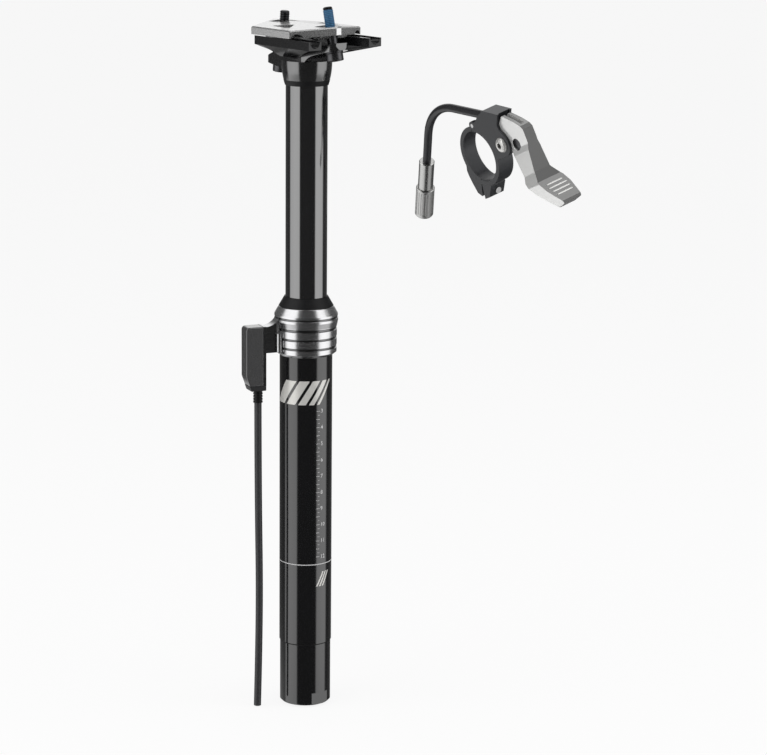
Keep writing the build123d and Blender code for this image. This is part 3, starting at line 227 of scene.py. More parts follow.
def ring_glow(tree, angle, steps):
    """Glow as a ramp over the level angle: each step is (degrees to the left of the camera, level)."""
    ramp = add_node(tree, "ShaderNodeValToRGB", {"Fac": share_between(tree, angle, -math.pi, math.pi)})
    stops = ramp.color_ramp.elements
    for degrees, level in steps:
        stops.new(0.5 + degrees / 360).color = grey(level / glow_top)
    stops[0].color = grey(steps[0][1] / glow_top)
    stops[-1].color = grey(steps[-1][1] / glow_top)
    return math_of(tree, "MULTIPLY", ramp.outputs["Color"], glow_top)


def studio_glow(tree, way):
    """The room in a direction. Its shares along front and left give a level angle, by the arc tangent, and
    its height picks between the three rings: each further one begins at one height and is full at another."""
    angle = math_of(tree, "ARCTAN2", dot(tree, way, leftward), dot(tree, way, front))
    height = add_node(tree, "ShaderNodeSeparateXYZ", {"Vector": way}).outputs["Z"]
    glow = ring_glow(tree, angle, wall_steps)
    for steps, begin, full in (ceiling_ring, floor_ring):
        share = share_between(tree, height, begin, full)
        ring = ring_glow(tree, angle, steps)
        glow = add_node(tree, "ShaderNodeMix", {"Factor": share, "A": glow, "B": ring}).outputs["Result"]
    return glow


print("rings of light:", len(wall_steps), len(ceiling_steps), len(floor_steps), "steps")

# %% [markdown]
# ## Floor
#
# The floor is pale and plain, at the foot of the post. A lit sheet would fall off to grey with distance.
# So for the camera it is mostly an even white glow, and a small share of the lit surface keeps a faint
# shadow. Glossy rays don't see it: they have the backdrop's lowest ring instead.

# %% Floor
floor_z = -217.6 * mm
floor_half = 12.0
floor_glow_share = 0.88
floor_mesh = bpy.data.meshes.new("floor")
floor_corners = [(x * floor_half, y * floor_half, floor_z) for x, y in ((-1, -1), (1, -1), (1, 1), (-1, 1))]
floor_mesh.from_pydata(floor_corners, [], [(0, 1, 2, 3)])
floor = put_in_scene("floor", floor_mesh)
floor_look, floor_tree, floor_shader = new_material("floor")
floor_shader.inputs["Base Color"].default_value = grey(0.86)
floor_shader.inputs["Roughness"].default_value = 0.9
white = add_node(floor_tree, "ShaderNodeEmission", {"Color": grey(1), "Strength": 1.0})
floor_rays = add_node(floor_tree, "ShaderNodeLightPath").outputs
glow_share = math_of(floor_tree, "MULTIPLY", floor_rays["Is Camera Ray"], floor_glow_share)
floor_mix = add_node(floor_tree, "ShaderNodeMixShader",
                     {0: glow_share, 1: floor_shader.outputs[0], 2: white.outputs[0]})
floor_tree.links.new(floor_mix.outputs[0], floor_tree.nodes["Material Output"].inputs["Surface"])
floor.visible_glossy = False
floor_mesh.materials.append(floor_look)
print("floor at", floor_z)

# %% [markdown]
# ## Backdrop
#
# The photograph's ground is plain white. A world shader can answer each kind of ray on its own: white for
# the camera, the painted room for gloss, and a soft even light for everything matt.

# %% Backdrop
even_level = 0.45
world = bpy.data.worlds.new("backdrop")
world.use_nodes = True
bpy.context.scene.world = world
sky_tree = world.node_tree
sky = sky_tree.nodes["Background"]
sky.inputs["Color"].default_value = grey(1)
way = add_node(sky_tree, "ShaderNodeTexCoord").outputs["Generated"]
rays = add_node(sky_tree, "ShaderNodeLightPath").outputs
gloss = math_of(sky_tree, "MULTIPLY", rays["Is Glossy Ray"], studio_glow(sky_tree, way))
direct = math_of(sky_tree, "MAXIMUM", rays["Is Camera Ray"], rays["Is Transmission Ray"])
shown = math_of(sky_tree, "MAXIMUM", direct, gloss)
even = math_of(sky_tree, "MULTIPLY", rays["Is Diffuse Ray"], even_level)
sky_tree.links.new(math_of(sky_tree, "MAXIMUM", shown, even), sky.inputs["Strength"])
print("backdrop nodes:", len(sky_tree.nodes))

# %% [markdown]
# ## Lamps
#
# Three large soft lamps shape the matt pieces: one at each side and a weaker one above. They are hidden
# from glossy rays, so that no hard rectangle shows beside the painted panels.

# %% Lamps
def soft_lamp(name, place, aim, width, height, power):
    """A rectangular lamp that faces a point: its own z axis points from the aim to the lamp."""
    back = place - np.array(aim, float)
    back /= np.linalg.norm(back)
    across = np.cross([0.0, 0.0, 1.0], back)
    across /= np.linalg.norm(across)
    data = bpy.data.lights.new(name, "AREA")
    data.shape = "RECTANGLE"
    data.size, data.size_y, data.energy = width, height, power
    lamp = put_in_scene(name, data)
    lamp.matrix_world = placed(across, np.cross(back, across), back, place)
    lamp.visible_glossy = False


def from_camera(sideways, up, forward):
    """A point given in metres to the camera's right, up, and towards it from the post."""
    return side * sideways + np.array([0.0, 0.0, up]) + front * forward


soft_lamp("left lamp", from_camera(-1.25, 0.2, 0.64), (0, 0, 0), 1.3, 1.7, 15)
soft_lamp("right lamp", from_camera(1.35, 0.2, 0.35), (0, 0, 0), 1.5, 1.7, 14)
soft_lamp("top lamp", from_camera(0.0, 1.5, 0.3), (0, 0, 0.05), 1.0, 1.0, 7)
print("lamps set:", len(bpy.data.lights))

# %% [markdown]
# ## Metal, rubber and plastic
#
# Real finishes are never one flat value. Anodised tube has a fine grain that a lamp picks out, turned
# parts keep the rings of the lathe, and brushed ones keep straight scratches. Image textures would need
# files and unwrapping, so one recipe makes them all: noise on the object's own coordinates, stretched
# along the marks, varies the colour and the roughness a little and lifts a very small bump.

# %% Recipe of a finish
noise_low, noise_high = 0.3, 0.7
coat_rough = 0.08


def finish(name, colour, shade, rough, marks, metallic=0.0, bump=0.1, depth=0.02, coat=0.0, gloss=0.5,
           bend=1.5, turn_by=(0, 0, 0)):
    """Noise n on scaled coordinates: colour from shade to colour, roughness from low to high, bump from n."""
    made, tree, shader = new_material(name)
    place = add_node(tree, "ShaderNodeTexCoord").outputs["Object"]
    place = add_node(tree, "ShaderNodeMapping", {"Vector": place, "Rotation": turn_by},
                     vector_type="TEXTURE").outputs[0]
    place = add_node(tree, "ShaderNodeMapping", {"Vector": place, "Scale": marks}).outputs[0]
    noise = add_node(tree, "ShaderNodeTexNoise", {"Vector": place, "Scale": 1.0, "Detail": 4.0,
                                                  "Roughness": 0.6}).outputs["Fac"]
    tone = add_node(tree, "ShaderNodeValToRGB", {"Fac": noise})
    for number, (position, level) in enumerate(((noise_low, shade), (noise_high, colour))):
        tone.color_ramp.elements[number].position = position
        tone.color_ramp.elements[number].color = (*level, 1)
    tree.links.new(tone.outputs["Color"], shader.inputs["Base Color"])
    spread = add_node(tree, "ShaderNodeMapRange",
                      {"Value": noise, "From Min": noise_low, "From Max": noise_high, "To Min": rough[0],
                       "To Max": rough[1]})
    tree.links.new(spread.outputs[0], shader.inputs["Roughness"])
    raised = add_node(tree, "ShaderNodeBump", {"Height": noise, "Strength": bump, "Distance": depth * mm})
    tree.links.new(raised.outputs[0], shader.inputs["Normal"])
    shader.inputs["Metallic"].default_value = metallic
    shader.inputs["Specular IOR Level"].default_value = gloss
    shader.inputs["IOR"].default_value = bend
    shader.inputs["Coat Weight"].default_value = coat
    shader.inputs["Coat Roughness"].default_value = coat_rough
    return made


print("recipe ready")

# %% Black finishes
looks = {
    "outer_tube": finish("tube anodising", (0.005, 0.005, 0.0055), (0.003, 0.003, 0.0035), (0.1, 0.15),
                         (900, 900, 2600), bump=0.03, coat=0.6, gloss=1.0),
    "stanchion": finish("stanchion coating", (0.003, 0.003, 0.0035), (0.002, 0.002, 0.0025), (0.06, 0.1),
                        (700, 700, 3500), bump=0.02, coat=1.0, bend=2.8),
    "rubber": finish("seal rubber", (0.008, 0.008, 0.0085), (0.005, 0.005, 0.0055), (0.4, 0.55),
                     (1800, 1800, 1800), bump=0.15, gloss=0.3),
    "cover": finish("moulded cover", (0.042, 0.042, 0.043), (0.034, 0.034, 0.035), (0.2, 0.28),
                    (2600, 2600, 2600), bump=0.03, coat=1.0, bend=1.9),
    "black plastic": finish("moulded black", (0.016, 0.016, 0.017), (0.011, 0.011, 0.012), (0.38, 0.5),
                            (2400, 2400, 2400), bump=0.3),
    "yoke": finish("glossy anodising", (0.004, 0.004, 0.0045), (0.003, 0.003, 0.0035), (0.12, 0.18),
                   (1500, 1500, 1500), bump=0.03, coat=0.8, bend=2.5),
    "cradle": finish("dark anodising", (0.006, 0.006, 0.0065), (0.004, 0.004, 0.0045), (0.18, 0.26),
                     (1500, 1500, 1500), bump=0.05, coat=0.2, bend=1.5),
    "sheath": finish("cable sheath", (0.035, 0.035, 0.037), (0.026, 0.026, 0.028), (0.34, 0.46),
                     (1500, 1500, 500), bump=0.2),
    "clamp": finish("charcoal anodising", (0.034, 0.035, 0.038), (0.024, 0.025, 0.028), (0.28, 0.38),
                    (2200, 2200, 2200), metallic=0.2, bump=0.12),
    "elbow": finish("coated tube", (0.03, 0.03, 0.033), (0.022, 0.022, 0.024), (0.28, 0.36),
                    (1200, 1200, 1200), metallic=0.2, bump=0.06),
    "bolt": finish("blackened steel", (0.13, 0.13, 0.135), (0.09, 0.09, 0.095), (0.24, 0.34),
                   (1200, 1200, 1200), metallic=0.9, bump=0.05),
}
print("black finishes:", len(looks))

# %% Bright finishes
lever_turn = (0.0, math.radians(-20), math.radians(-10.9))
sleeve_turn = (math.radians(4), math.radians(-12), 0.0)
looks |= {
    "collar": finish("turned aluminium", (0.82, 0.82, 0.83), (0.74, 0.74, 0.75), (0.16, 0.28),
                     (60, 60, 5200), metallic=1.0, bump=0.1),
    "plate": finish("brushed plate", (0.79, 0.79, 0.79), (0.75, 0.75, 0.75), (0.23, 0.29),
                    (160, 1800, 1800), metallic=0.88, bump=0.018),
    "polymer": finish("bushing polymer", (0.5, 0.45, 0.33), (0.44, 0.39, 0.28), (0.4, 0.5),
                      (1200, 1200, 1200)),
    "brass": finish("drawn brass", (0.7, 0.5, 0.2), (0.62, 0.43, 0.16), (0.25, 0.38), (300, 300, 2500),
                    metallic=1.0),
    "steel": finish("ground steel", (0.55, 0.56, 0.58), (0.46, 0.47, 0.49), (0.2, 0.32), (300, 300, 3000),
                    metallic=1.0),
    "screw": finish("stainless steel", (0.7, 0.7, 0.7), (0.62, 0.62, 0.62), (0.2, 0.28), (900, 900, 900),
                    metallic=1.0, bump=0.02),
    "button": finish("button head", (0.8, 0.79, 0.77), (0.72, 0.71, 0.69), (0.22, 0.28), (900, 900, 900),
                     metallic=0.6, bump=0.02),
    "lever": finish("polished lever", (0.82, 0.82, 0.81), (0.8, 0.8, 0.79), (0.24, 0.27),
                    (1600, 1600, 400), metallic=0.55, bump=0.006, turn_by=lever_turn),
    "sleeve": finish("satin anodising", (0.66, 0.66, 0.65), (0.58, 0.58, 0.57), (0.2, 0.28),
                     (2600, 2600, 90), metallic=1.0, bump=0.04, turn_by=sleeve_turn),
    "adjuster": finish("knurled anodising", (0.66, 0.66, 0.65), (0.58, 0.58, 0.57), (0.3, 0.4),
                       (2600, 2600, 90), metallic=1.0, bump=0.08, turn_by=sleeve_turn),
}
print("finishes so far:", len(looks))

# %% [markdown]
# ## Who wears what
#
# Most pieces of such a post share a handful of finishes: tube black, blackened screws, bright metal and
# rubber. So each look names its pieces, and a loop turns the list round to find the look of a piece.

# %% Pieces and their looks
worn_by = {
    "outer_tube": "outer_tube bottom_cap", "stanchion": "stanchion", "collar": "collar",
    "yoke": "head_yoke", "cradle": "lower_cradle", "plate": "top_plate",
    "cover": "box_cover", "black plastic": "box_end_cap", "sheath": "cable_housing",
    "rubber": "cap_seal wiper_seal cable_boot",
    "clamp": "remote_body clamp_band", "elbow": "cable_elbow", "lever": "thumb_lever",
    "sleeve": "adjuster_sleeve", "adjuster": "adjuster_barrel", "brass": "guide_keys",
    "polymer": "piston upper_bushing lower_bushing lever_bush",
    "steel": "piston_rod rod_nut gas_cylinder cylinder_gland cable_slide lock_pin",
    "screw": "pin_spring band_hinge_pin clamp_screw pivot_bolt lever_spring inner_wire",
    "bolt": "front_bolt rear_bolt bolt_washers front_barrel_nut rear_barrel_nut cable_anchor anchor_screw",
}
wears = {node: look_name for look_name, names in worn_by.items() for node in names.split()}
for node, look_name in wears.items():
    for slot in nodes[node].material_slots:
        slot.material = looks[look_name]
cable_curve.materials.append(looks["sheath"])
print("pieces finished:", len(wears))

# %% [markdown]
# ## Painted shade in the hollows
#
# Some pieces carry painted shade in their colour. The collar's arm has painted shade on its flat sides,
# grooves and threads have painted shade at their floors, and the lever has painted shade on the faces
# square to the bar, darkest at the front, while its sides stay bright. A second material would need its
# own faces. A mask in the shader needs none: it finds the place from the normal, the distance or a value
# kept on the points, and darkens the colour there.

# %% Masks of painted shade
web_from, web_full = 19.2, 20.5


def paint_shade_where(look_name, mask_of, dark):
    """Paint shade into a look's colour: multiply it by a level where a mask, built on its tree, is 1. On a
    Mix node set to colours, inputs 6 and 7 are the two colours and output 2 is the mixed one."""
    tree = looks[look_name].node_tree
    base = tree.nodes["Principled BSDF"].inputs["Base Color"]
    tone = base.links[0].from_socket
    part = add_node(tree, "ShaderNodeMix", {"Factor": mask_of(tree), 6: tone, 7: grey(dark)},
                    data_type="RGBA", blend_type="MULTIPLY")
    tree.links.new(part.outputs[2], base)


def facing(tree, way, least, full):
    """1 where the object's normal lies along a direction or against it, 0 where it leans away."""
    normal = add_node(tree, "ShaderNodeTexCoord").outputs["Normal"]
    return share_between(tree, math_of(tree, "ABSOLUTE", dot(tree, normal, way)), least, full)


def web_shade(tree):
    """Painted shade on the flat sides of the collar's arm: beyond the ring's radius, where the normal is
    level and square to the arm."""
    place = add_node(tree, "ShaderNodeTexCoord").outputs["Object"]
    beyond = share_between(tree, dot(tree, place, box_way), web_from * mm, web_full * mm)
    across = facing(tree, (-box_way[1], box_way[0], 0.0), 0.9, 0.99)
    return math_of(tree, "MULTIPLY", beyond, across)


def hollow_shade(tree):
    """Painted shade from the 'hollow' attribute that a turned surface carries: 1 at the floor of a groove, 0
    on the land.
    """
    return add_node(tree, "ShaderNodeAttribute", attribute_name="hollow").outputs["Fac"]


# painted shade: the arm's flat sides, the collar's grooves, the bolts' thread valleys and the socket
paint_shade_where("collar", web_shade, 0.12)
paint_shade_where("collar", hollow_shade, 0.25)
paint_shade_where("bolt", hollow_shade, 0.1)
paint_shade_where("button", hollow_shade, 0.12)
print("collar, bolts and button head shaded")

# %% Painted shade on the lever's faces
bar_way = direction(85.54, 17.03)
lever_x = direction(-10.92, 20.18)
lever_y = np.cross(-bar_way, lever_x)
lever_forward = lever_x * 0.98 - lever_y * 0.17


def lever_painted_shade(tree):
    """Painted shade on the lever's faces whose normal is square to the bar. The front is the darkest, the top
    and back less, and the paddle least. Its sides stay bright."""
    normal = add_node(tree, "ShaderNodeTexCoord").outputs["Normal"]
    ahead = share_between(tree, dot(tree, normal, lever_forward), -1, 1)
    ramp = add_node(tree, "ShaderNodeValToRGB", {"Fac": ahead})
    stops = ramp.color_ramp.elements
    for place, level in ((0.7, 0.78), (0.8, 0.62), (0.84, 0.62), (0.9, 1.0)):
        stops.new(place).color = grey(level)
    stops[0].color = grey(0.78)
    stops[-1].color = grey(1)
    return math_of(tree, "MULTIPLY", ramp.outputs["Color"], facing(tree, bar_way, 0.22, 0.1))


# painted shade on the lever's front, top, back and paddle
paint_shade_where("lever", lever_painted_shade, 0.14)
print("lever faces shaded")

# %% [markdown]
# ## Broken edges
#
# A milled or moulded piece never has a perfectly sharp edge: the shop breaks it with a small bevel, and
# that bevel catches the light as a thin bright line. The solids keep their edges sharp. A bevel in the
# shader would leave the outline sharp, so each of these pieces is a merged copy of its solid with a Bevel
# modifier. Weighted normals keep its flat faces flat.

# %% Collar profile
ring_levels = [0, 1.7, 17.5, 20.7, 24.6, 29.3]
ring_sizes = [16.2, 18.3, 18.5, 19.15, 18.95, 16.3]
ring_top = ring_levels[-1]
ring_bore = 16.15
ring_slack, foot_slack, rim_slack = 0.03, 0.01, 0.05


def ring_radius(z):
    """The collar's outer radius at a height, both in millimetres: straight runs from foot to rim."""
    return np.interp(z, ring_levels, ring_sizes)


def on_ring(face):
    """Whether a face belongs to the collar's turned outside, which a finer surface takes over."""
    spot = face.calc_center_median() / mm
    level = math.hypot(spot.x, spot.y)
    between_ends = foot_slack < spot.z < ring_top - rim_slack
    return between_ends and ring_bore < level < ring_radius(spot.z) + ring_slack


print("collar is", ring_top, "tall")

# %% Broken edges
sharp_turn = math.radians(30)
flat_turn = math.radians(0.6)


def edge_broken(node, name, width):
    """A copy of a solid's mesh, its triangles merged and its edges bevelled by a width in millimetres."""
    shape = bmesh.new()
    shape.from_mesh(nodes[node].data)
    bmesh.ops.remove_doubles(shape, verts=shape.verts, dist=2e-6)
    if node == "collar":
        spare = [face for face in shape.faces if on_ring(face)]
        bmesh.ops.delete(shape, geom=spare, context="FACES")
    bmesh.ops.dissolve_limit(shape, angle_limit=flat_turn, verts=shape.verts, edges=shape.edges)
    mesh = bpy.data.meshes.new(name)
    shape.to_mesh(mesh)
    shape.free()
    mesh.shade_smooth()
    mesh.set_sharp_from_angle(angle=sharp_turn)
    mesh.materials.append(looks[wears[node]])
    piece = put_in_scene(name, mesh)
    bevel = piece.modifiers.new("broken edge", "BEVEL")
    bevel.width = width * mm
    bevel.segments = 2
    bevel.limit_method = "ANGLE"
    bevel.angle_limit = sharp_turn
    bevel.use_clamp_overlap = True
    bevel.miter_outer = "MITER_ARC"
    even_normals = piece.modifiers.new("flat faces", "WEIGHTED_NORMAL")
    even_normals.keep_sharp = True
    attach(piece, nodes[node]["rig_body"])
    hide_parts(node)
    return piece


edge_widths = {
    "top_plate": 0.5, "lower_cradle": 0.35, "head_yoke": 0.4, "remote_body": 0.3, "clamp_band": 0.3,
    "thumb_lever": 0.85, "box_cover": 0.8, "box_end_cap": 0.4, "collar": 0.35,
}
for node, width in edge_widths.items():
    piece = edge_broken(node, node.title() + "_edged", width)
    print(piece.name, "faces:", len(piece.data.polygons))

# %% [markdown]
# ## Printing on the tube
#
# The tube carries silk-screened marks: a ring for the least insertion, a depth scale and a silver band of
# slanted bars. An image would blur at the ring and the numbers. Ink lies on the surface, so each mark is
# a thin skin a few hundredths of a millimetre above the metal, drawn flat and then wrapped round.

# %% Wrapping a flat mark
ink_r = 15.84


def grid_faces(rows, columns, closed=False):
    """Corner numbers of the quads between points kept row by row. A closed grid's last column meets its
    first."""
    quads_across = columns if closed else columns - 1
    row, column = np.meshgrid(np.arange(rows - 1), np.arange(quads_across), indexing="ij")
    low = row * columns + column
    beside = row * columns + (column + 1) % columns
    return np.stack([low, beside, beside + columns, low + columns], axis=-1).reshape(-1, 4)


def smooth_mesh(name, points, faces):
    """A mesh, shaded smooth, from arrays of points and of corner numbers."""
    mesh = bpy.data.meshes.new(name)
    mesh.from_pydata(points.reshape(-1, 3).tolist(), [], faces.tolist())
    mesh.shade_smooth()
    return mesh


def wrapped(along, height, turn_at):
    """Flat points (along the skin, height) in millimetres, wrapped round the tube at an angle in degrees:
    the angle grows by distance over radius, and the height stays."""
    around = math.radians(turn_at) + along / ink_r
    return np.stack([ink_r * np.cos(around), ink_r * np.sin(around), height], axis=-1) * mm


def inked(name, mesh, look_name):
    """A printed skin as a piece that rides on the tube."""
    piece = put_in_scene(name, mesh)
    mesh.materials.append(looks[look_name])
    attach(piece, "post")
    print(name, "points:", len(mesh.vertices))


def strips(lows, highs, lean, heights, turn_at, name, look_name, steps=8, rows=25):
    """Slanted bars as one skin: each bar runs from low to high along the tube's skin between two heights,
    moved sideways by lean times its height above the lower one."""
    up, across = np.meshgrid(np.linspace(0, 1, rows), np.linspace(0, 1, steps + 1), indexing="ij")
    points, faces = [], []
    for bar, (low, high, (bottom, top)) in enumerate(zip(lows, highs, heights)):
        height = bottom + (top - bottom) * up
        along = low + (high - low) * across + lean * (height - bottom)
        points.append(wrapped(along, height, turn_at))
        faces.append(grid_faces(rows, steps + 1) + bar * up.size)
    inked(name, smooth_mesh(name, np.array(points), np.concatenate(faces)), look_name)


print("ink lies at radius", ink_r)

# %% Ring, ticks and bars
looks["white ink"] = finish("white ink", (0.62, 0.62, 0.62), (0.5, 0.5, 0.5), (0.35, 0.5),
                            (2500, 2500, 2500))
looks["silver ink"] = finish("silver ink", (0.74, 0.73, 0.7), (0.62, 0.61, 0.58), (0.3, 0.42),
                             (2500, 2500, 2500), metallic=0.35)
insertion_line = (-127.45, -126.95)
strips([0], [2 * math.pi * ink_r], 0, [insertion_line], 0, "insertion_ring", "white ink", steps=96, rows=2)
scale_turn = -6.0
tick_count, tick_step, tick_top, tick_half = 37, 2.5, -32.5, 0.12
long_tick, short_tick = 2.2, 1.2
tick_heights = tick_top - np.arange(tick_count) * tick_step
tick_long = np.where(np.arange(tick_count) % 2 == 0, long_tick, short_tick)
strips(-tick_long, np.zeros(tick_count), 0, [(z - tick_half, z + tick_half) for z in tick_heights],
       scale_turn, "scale_ticks", "white ink", rows=2)
bar_lows = np.array([-31.0, -21.5, -13.5, -7.0, -2.0])
bar_widths = np.array([7.5, 6.0, 4.6, 3.2, 1.8])
bar_lean, bar_turn, bar_span = 0.62, -6.0, (-28.5, -14.0)
strips(bar_lows, bar_lows + bar_widths, bar_lean, [bar_span] * 5, bar_turn, "slanted_bars", "silver ink")
small_lows, small_highs = [-1.6, 0.4, 2.4], [-0.5, 1.5, 3.5]
small_lean, small_turn, small_span = 0.5, -8.0, (-141, -132)
strips(small_lows, small_highs, small_lean, [small_span] * 3, small_turn, "lower_bars", "silver ink")

# %% Numbers of the scale
numeral_size, numeral_weight = 3.3, 0.05
numeral_aside, numeral_below = 0.6, 1.0
numeral_lift = 1.004
first_numeral, ticks_apart = 3, 4


def flat_numeral(text):
    """The points of a number, drawn flat, and its faces: a text curve made a mesh, then cleared away."""
    words = bpy.data.curves.new("numeral", "FONT")
    words.body = text
    words.size = numeral_size
    words.offset = numeral_weight
    words.resolution_u = 3
    holder = put_in_scene("numeral", words)
    drawn = bpy.data.meshes.new_from_object(holder)
    points = np.empty(len(drawn.vertices) * 3)
    drawn.vertices.foreach_get("co", points)
    faces = [list(face.vertices) for face in drawn.polygons]
    bpy.data.objects.remove(holder)
    bpy.data.curves.remove(words)
    bpy.data.meshes.remove(drawn)
    return points.reshape(-1, 3)[:, :2], faces


points, faces, start = [], [], 0
for number, level in enumerate(tick_heights[::ticks_apart]):
    flat, outline = flat_numeral(str(first_numeral + number))
    flat += [numeral_aside, level - numeral_below]
    points.append(wrapped(flat[:, 0], flat[:, 1], scale_turn) * [numeral_lift, numeral_lift, 1])
    faces += [[start + corner for corner in face] for face in outline]
    start += len(flat)
numbers = bpy.data.meshes.new("scale_numbers")
numbers.from_pydata(np.concatenate(points).tolist(), [], faces)
inked("scale_numbers", numbers, "white ink")

# %% [markdown]
# ## Turned pieces
#
# The collar's ring, the clamp bolts and the lever's pivot are turned on a lathe. A Screw modifier could
# spin a profile, but two things here are not round: a hexagon socket, where the radius follows the flat,
# and a thread, where the ridge climbs as it goes round. So each piece is a grid of radii and heights,
# carried round its axis by a formula, and grooves, rounded lips, domes and threads are real shapes.

# %% Lathe
round_steps = 48
turned_sharp = math.radians(38)


def turned_piece(name, radius, height, frame_at, body, node, look_name, hollow=0.0):
    """Grid of points: centre + radius * (cos angle * first + sin angle * second) + height * axis. Rows are
    heights, columns are angles. The radius and height are arrays of rows by columns, in millimetres, and
    the hollow, between 0 and 1, is kept on the points as the mask of painted shade in the grooves."""
    centre, first, second, axis = frame_at
    rows, columns = radius.shape
    angle = np.linspace(0, 2 * math.pi, columns, endpoint=False)
    ring = np.cos(angle)[:, None] * first + np.sin(angle)[:, None] * second
    points = centre + (radius[..., None] * ring[None] + height[..., None] * axis) * mm
    mesh = smooth_mesh(name, points, grid_faces(rows, columns, closed=True))
    kept = mesh.attributes.new("hollow", "FLOAT", "POINT")
    kept.data.foreach_set("value", (np.zeros(radius.shape) + hollow).ravel())
    shape = bmesh.new()
    shape.from_mesh(mesh)
    bmesh.ops.remove_doubles(shape, verts=shape.verts, dist=1e-6)
    shape.to_mesh(mesh)
    shape.free()
    mesh.set_sharp_from_angle(angle=turned_sharp)
    mesh.materials.append(looks[look_name])
    piece = put_in_scene(name, mesh)
    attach(piece, body)
    if node:
        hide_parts(node)
    print(name, "faces:", len(mesh.polygons))
    return piece


def spun(profile, columns):
    """A profile of one value a row as an array of rows by columns, the same all the way round."""
    return np.repeat(np.array(profile)[:, None], columns, axis=1)


def rows_of(profile):
    """Rows from (radius, height, flats) triples: with flats, the radius is half a hexagon's width over the
    cosine of the angle to its nearest flat's middle."""
    angle = np.linspace(0, 2 * math.pi, round_steps, endpoint=False)
    to_flat = (angle % (math.pi / 3)) - math.pi / 6
    radius = np.array([size / np.cos(to_flat) if flats else np.full(round_steps, size)
                       for size, level, flats in profile])
    return radius, spun([level for size, level, flats in profile], round_steps)


print("lathe ready, steps to a turn:", round_steps)

# %% Collar ring
ring_columns = 144
groove_z = np.array([5.2, 10.7, 16.4, 22.8])
groove_deep = np.array([0.5, 0.5, 0.55, 0.4])
groove_half = np.array([0.72, 0.72, 0.85, 0.72])
groove_gain = 1.25
lip_deep, lip_from, lip_tall = 0.35, 28.9, 0.4
shade_deep, shade_start = 0.35, 0.15
ring_z = np.linspace(0, ring_top, 420)
near = np.abs(ring_z[:, None] - groove_z) / groove_half
cut = (groove_deep * np.clip(groove_gain - groove_gain * near ** 3, 0, 1)).sum(axis=1)
lip = lip_deep * np.clip((ring_z - lip_from) / lip_tall, 0, 1) ** 2
upright = (np.zeros(3), np.array([1.0, 0, 0]), np.array([0, 1.0, 0]), np.array([0, 0, 1.0]))
ring_r = ring_radius(ring_z) - cut - lip
# painted shade in the grooves, growing with the depth of the cut
ring_shade = np.clip(cut / shade_deep - shade_start, 0, 1)
ring = turned_piece("Collar_Ring", spun(ring_r, ring_columns), spun(ring_z, ring_columns), upright, "post",
                    "collar", "collar", spun(ring_shade, ring_columns))

# %% [markdown]
# ## Clamp bolts
#
# Both bolts end in a threaded stud that stands out of the top plate. The thread's radius falls from ridge
# to valley and back with height, and the whole wave moves up by one pitch in each turn. The front stud has
# the blue patch of thread lock, which fills the valleys a little.

# %% Threads
tip_radius = 3.0
head_r, head_tall, shank_r = 5.0, 4.2, 2.98
socket_half, socket_deep = 2.5, 2.4
ridge_r, valley_r = 2.94, 2.45
patch_ridge, patch_valley = 2.98, 2.7
thread_low, thread_high, patch_high = -13.0, -0.6, -1.7
valley_shade_r, valley_shade_run = 2.9, 0.3
front_lean, rear_lean = 14.0, -6.0
front_long, rear_long = 31.4, 36.1


def bolt_frame(node, lean):
    """Centre of a bolt's tip, two directions across it and its axis. The tip's disc touches the box's top."""
    low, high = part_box(node)
    tilt = math.radians(lean)
    axis = np.array([-math.sin(tilt), 0.0, math.cos(tilt)])
    across = np.array([math.cos(tilt), 0.0, math.sin(tilt)])
    reach = tip_radius * mm * math.cos(tilt)
    sideways = low.x + reach if lean > 0 else high.x - reach
    centre = np.array([sideways, 0.0, high.z - tip_radius * mm * abs(math.sin(tilt))])
    return centre, across, np.array([0.0, 1.0, 0.0]), axis


def threaded(low, high, ridge, valley):
    """Rows of a thread with a pitch of 1 between two heights below the tip. The wave is the distance from
    the nearest ridge: 0 on the ridge and 1 in the valley."""
    angle = np.linspace(0, 2 * math.pi, round_steps, endpoint=False)
    height = spun(np.arange(low, high, 0.125), round_steps)
    wave = np.abs((height - angle / (2 * math.pi)) % 1.0 - 0.5) * 2
    return ridge - (ridge - valley) * wave, height


def clamp_bolt(name, node, lean, size):
    """Socket, head and shank from a profile, then the thread, then the chamfered tip."""
    foot = -size
    low_part = rows_of([(0, foot + socket_deep, True), (socket_half, foot + socket_deep, True),
                        (socket_half, foot + 0.05, True), (socket_half + 0.5, foot, False),
                        (head_r - 0.4, foot, False), (head_r - 0.1, foot + 0.15, False),
                        (head_r, foot + 0.45, False), (head_r, foot + head_tall, False),
                        (shank_r, foot + head_tall, False), (shank_r, thread_low - 0.2, False)])
    middle = threaded(thread_low, thread_high, ridge_r, valley_r)
    top_part = rows_of([(2.75, -0.5, False), (2.35, -0.1, False), (2.2, 0, False), (0, 0, False)])
    radius, height = (np.concatenate(rows) for rows in zip(low_part, middle, top_part))
    # painted shade in the thread's valleys, kept on the points as the hollow
    shade = np.clip((valley_shade_r - radius) / valley_shade_run, 0, 1) * (height > thread_low - 0.1)
    piece = turned_piece(name, radius, height, bolt_frame(node, lean), "slider", node, "bolt", shade)


print("thread from", ridge_r, "down to", valley_r)

# %% Bolts
looks["thread lock"] = finish("thread lock", (0.055, 0.2, 0.38), (0.03, 0.12, 0.26), (0.4, 0.6),
                              (900, 900, 900), bump=0.4, depth=0.05)
# painted shade in the valleys of the blue patch
paint_shade_where("thread lock", hollow_shade, 0.25)
clamp_bolt("Front_Clamp_Bolt", "front_bolt", front_lean, front_long)
clamp_bolt("Rear_Clamp_Bolt", "rear_bolt", rear_lean, rear_long)
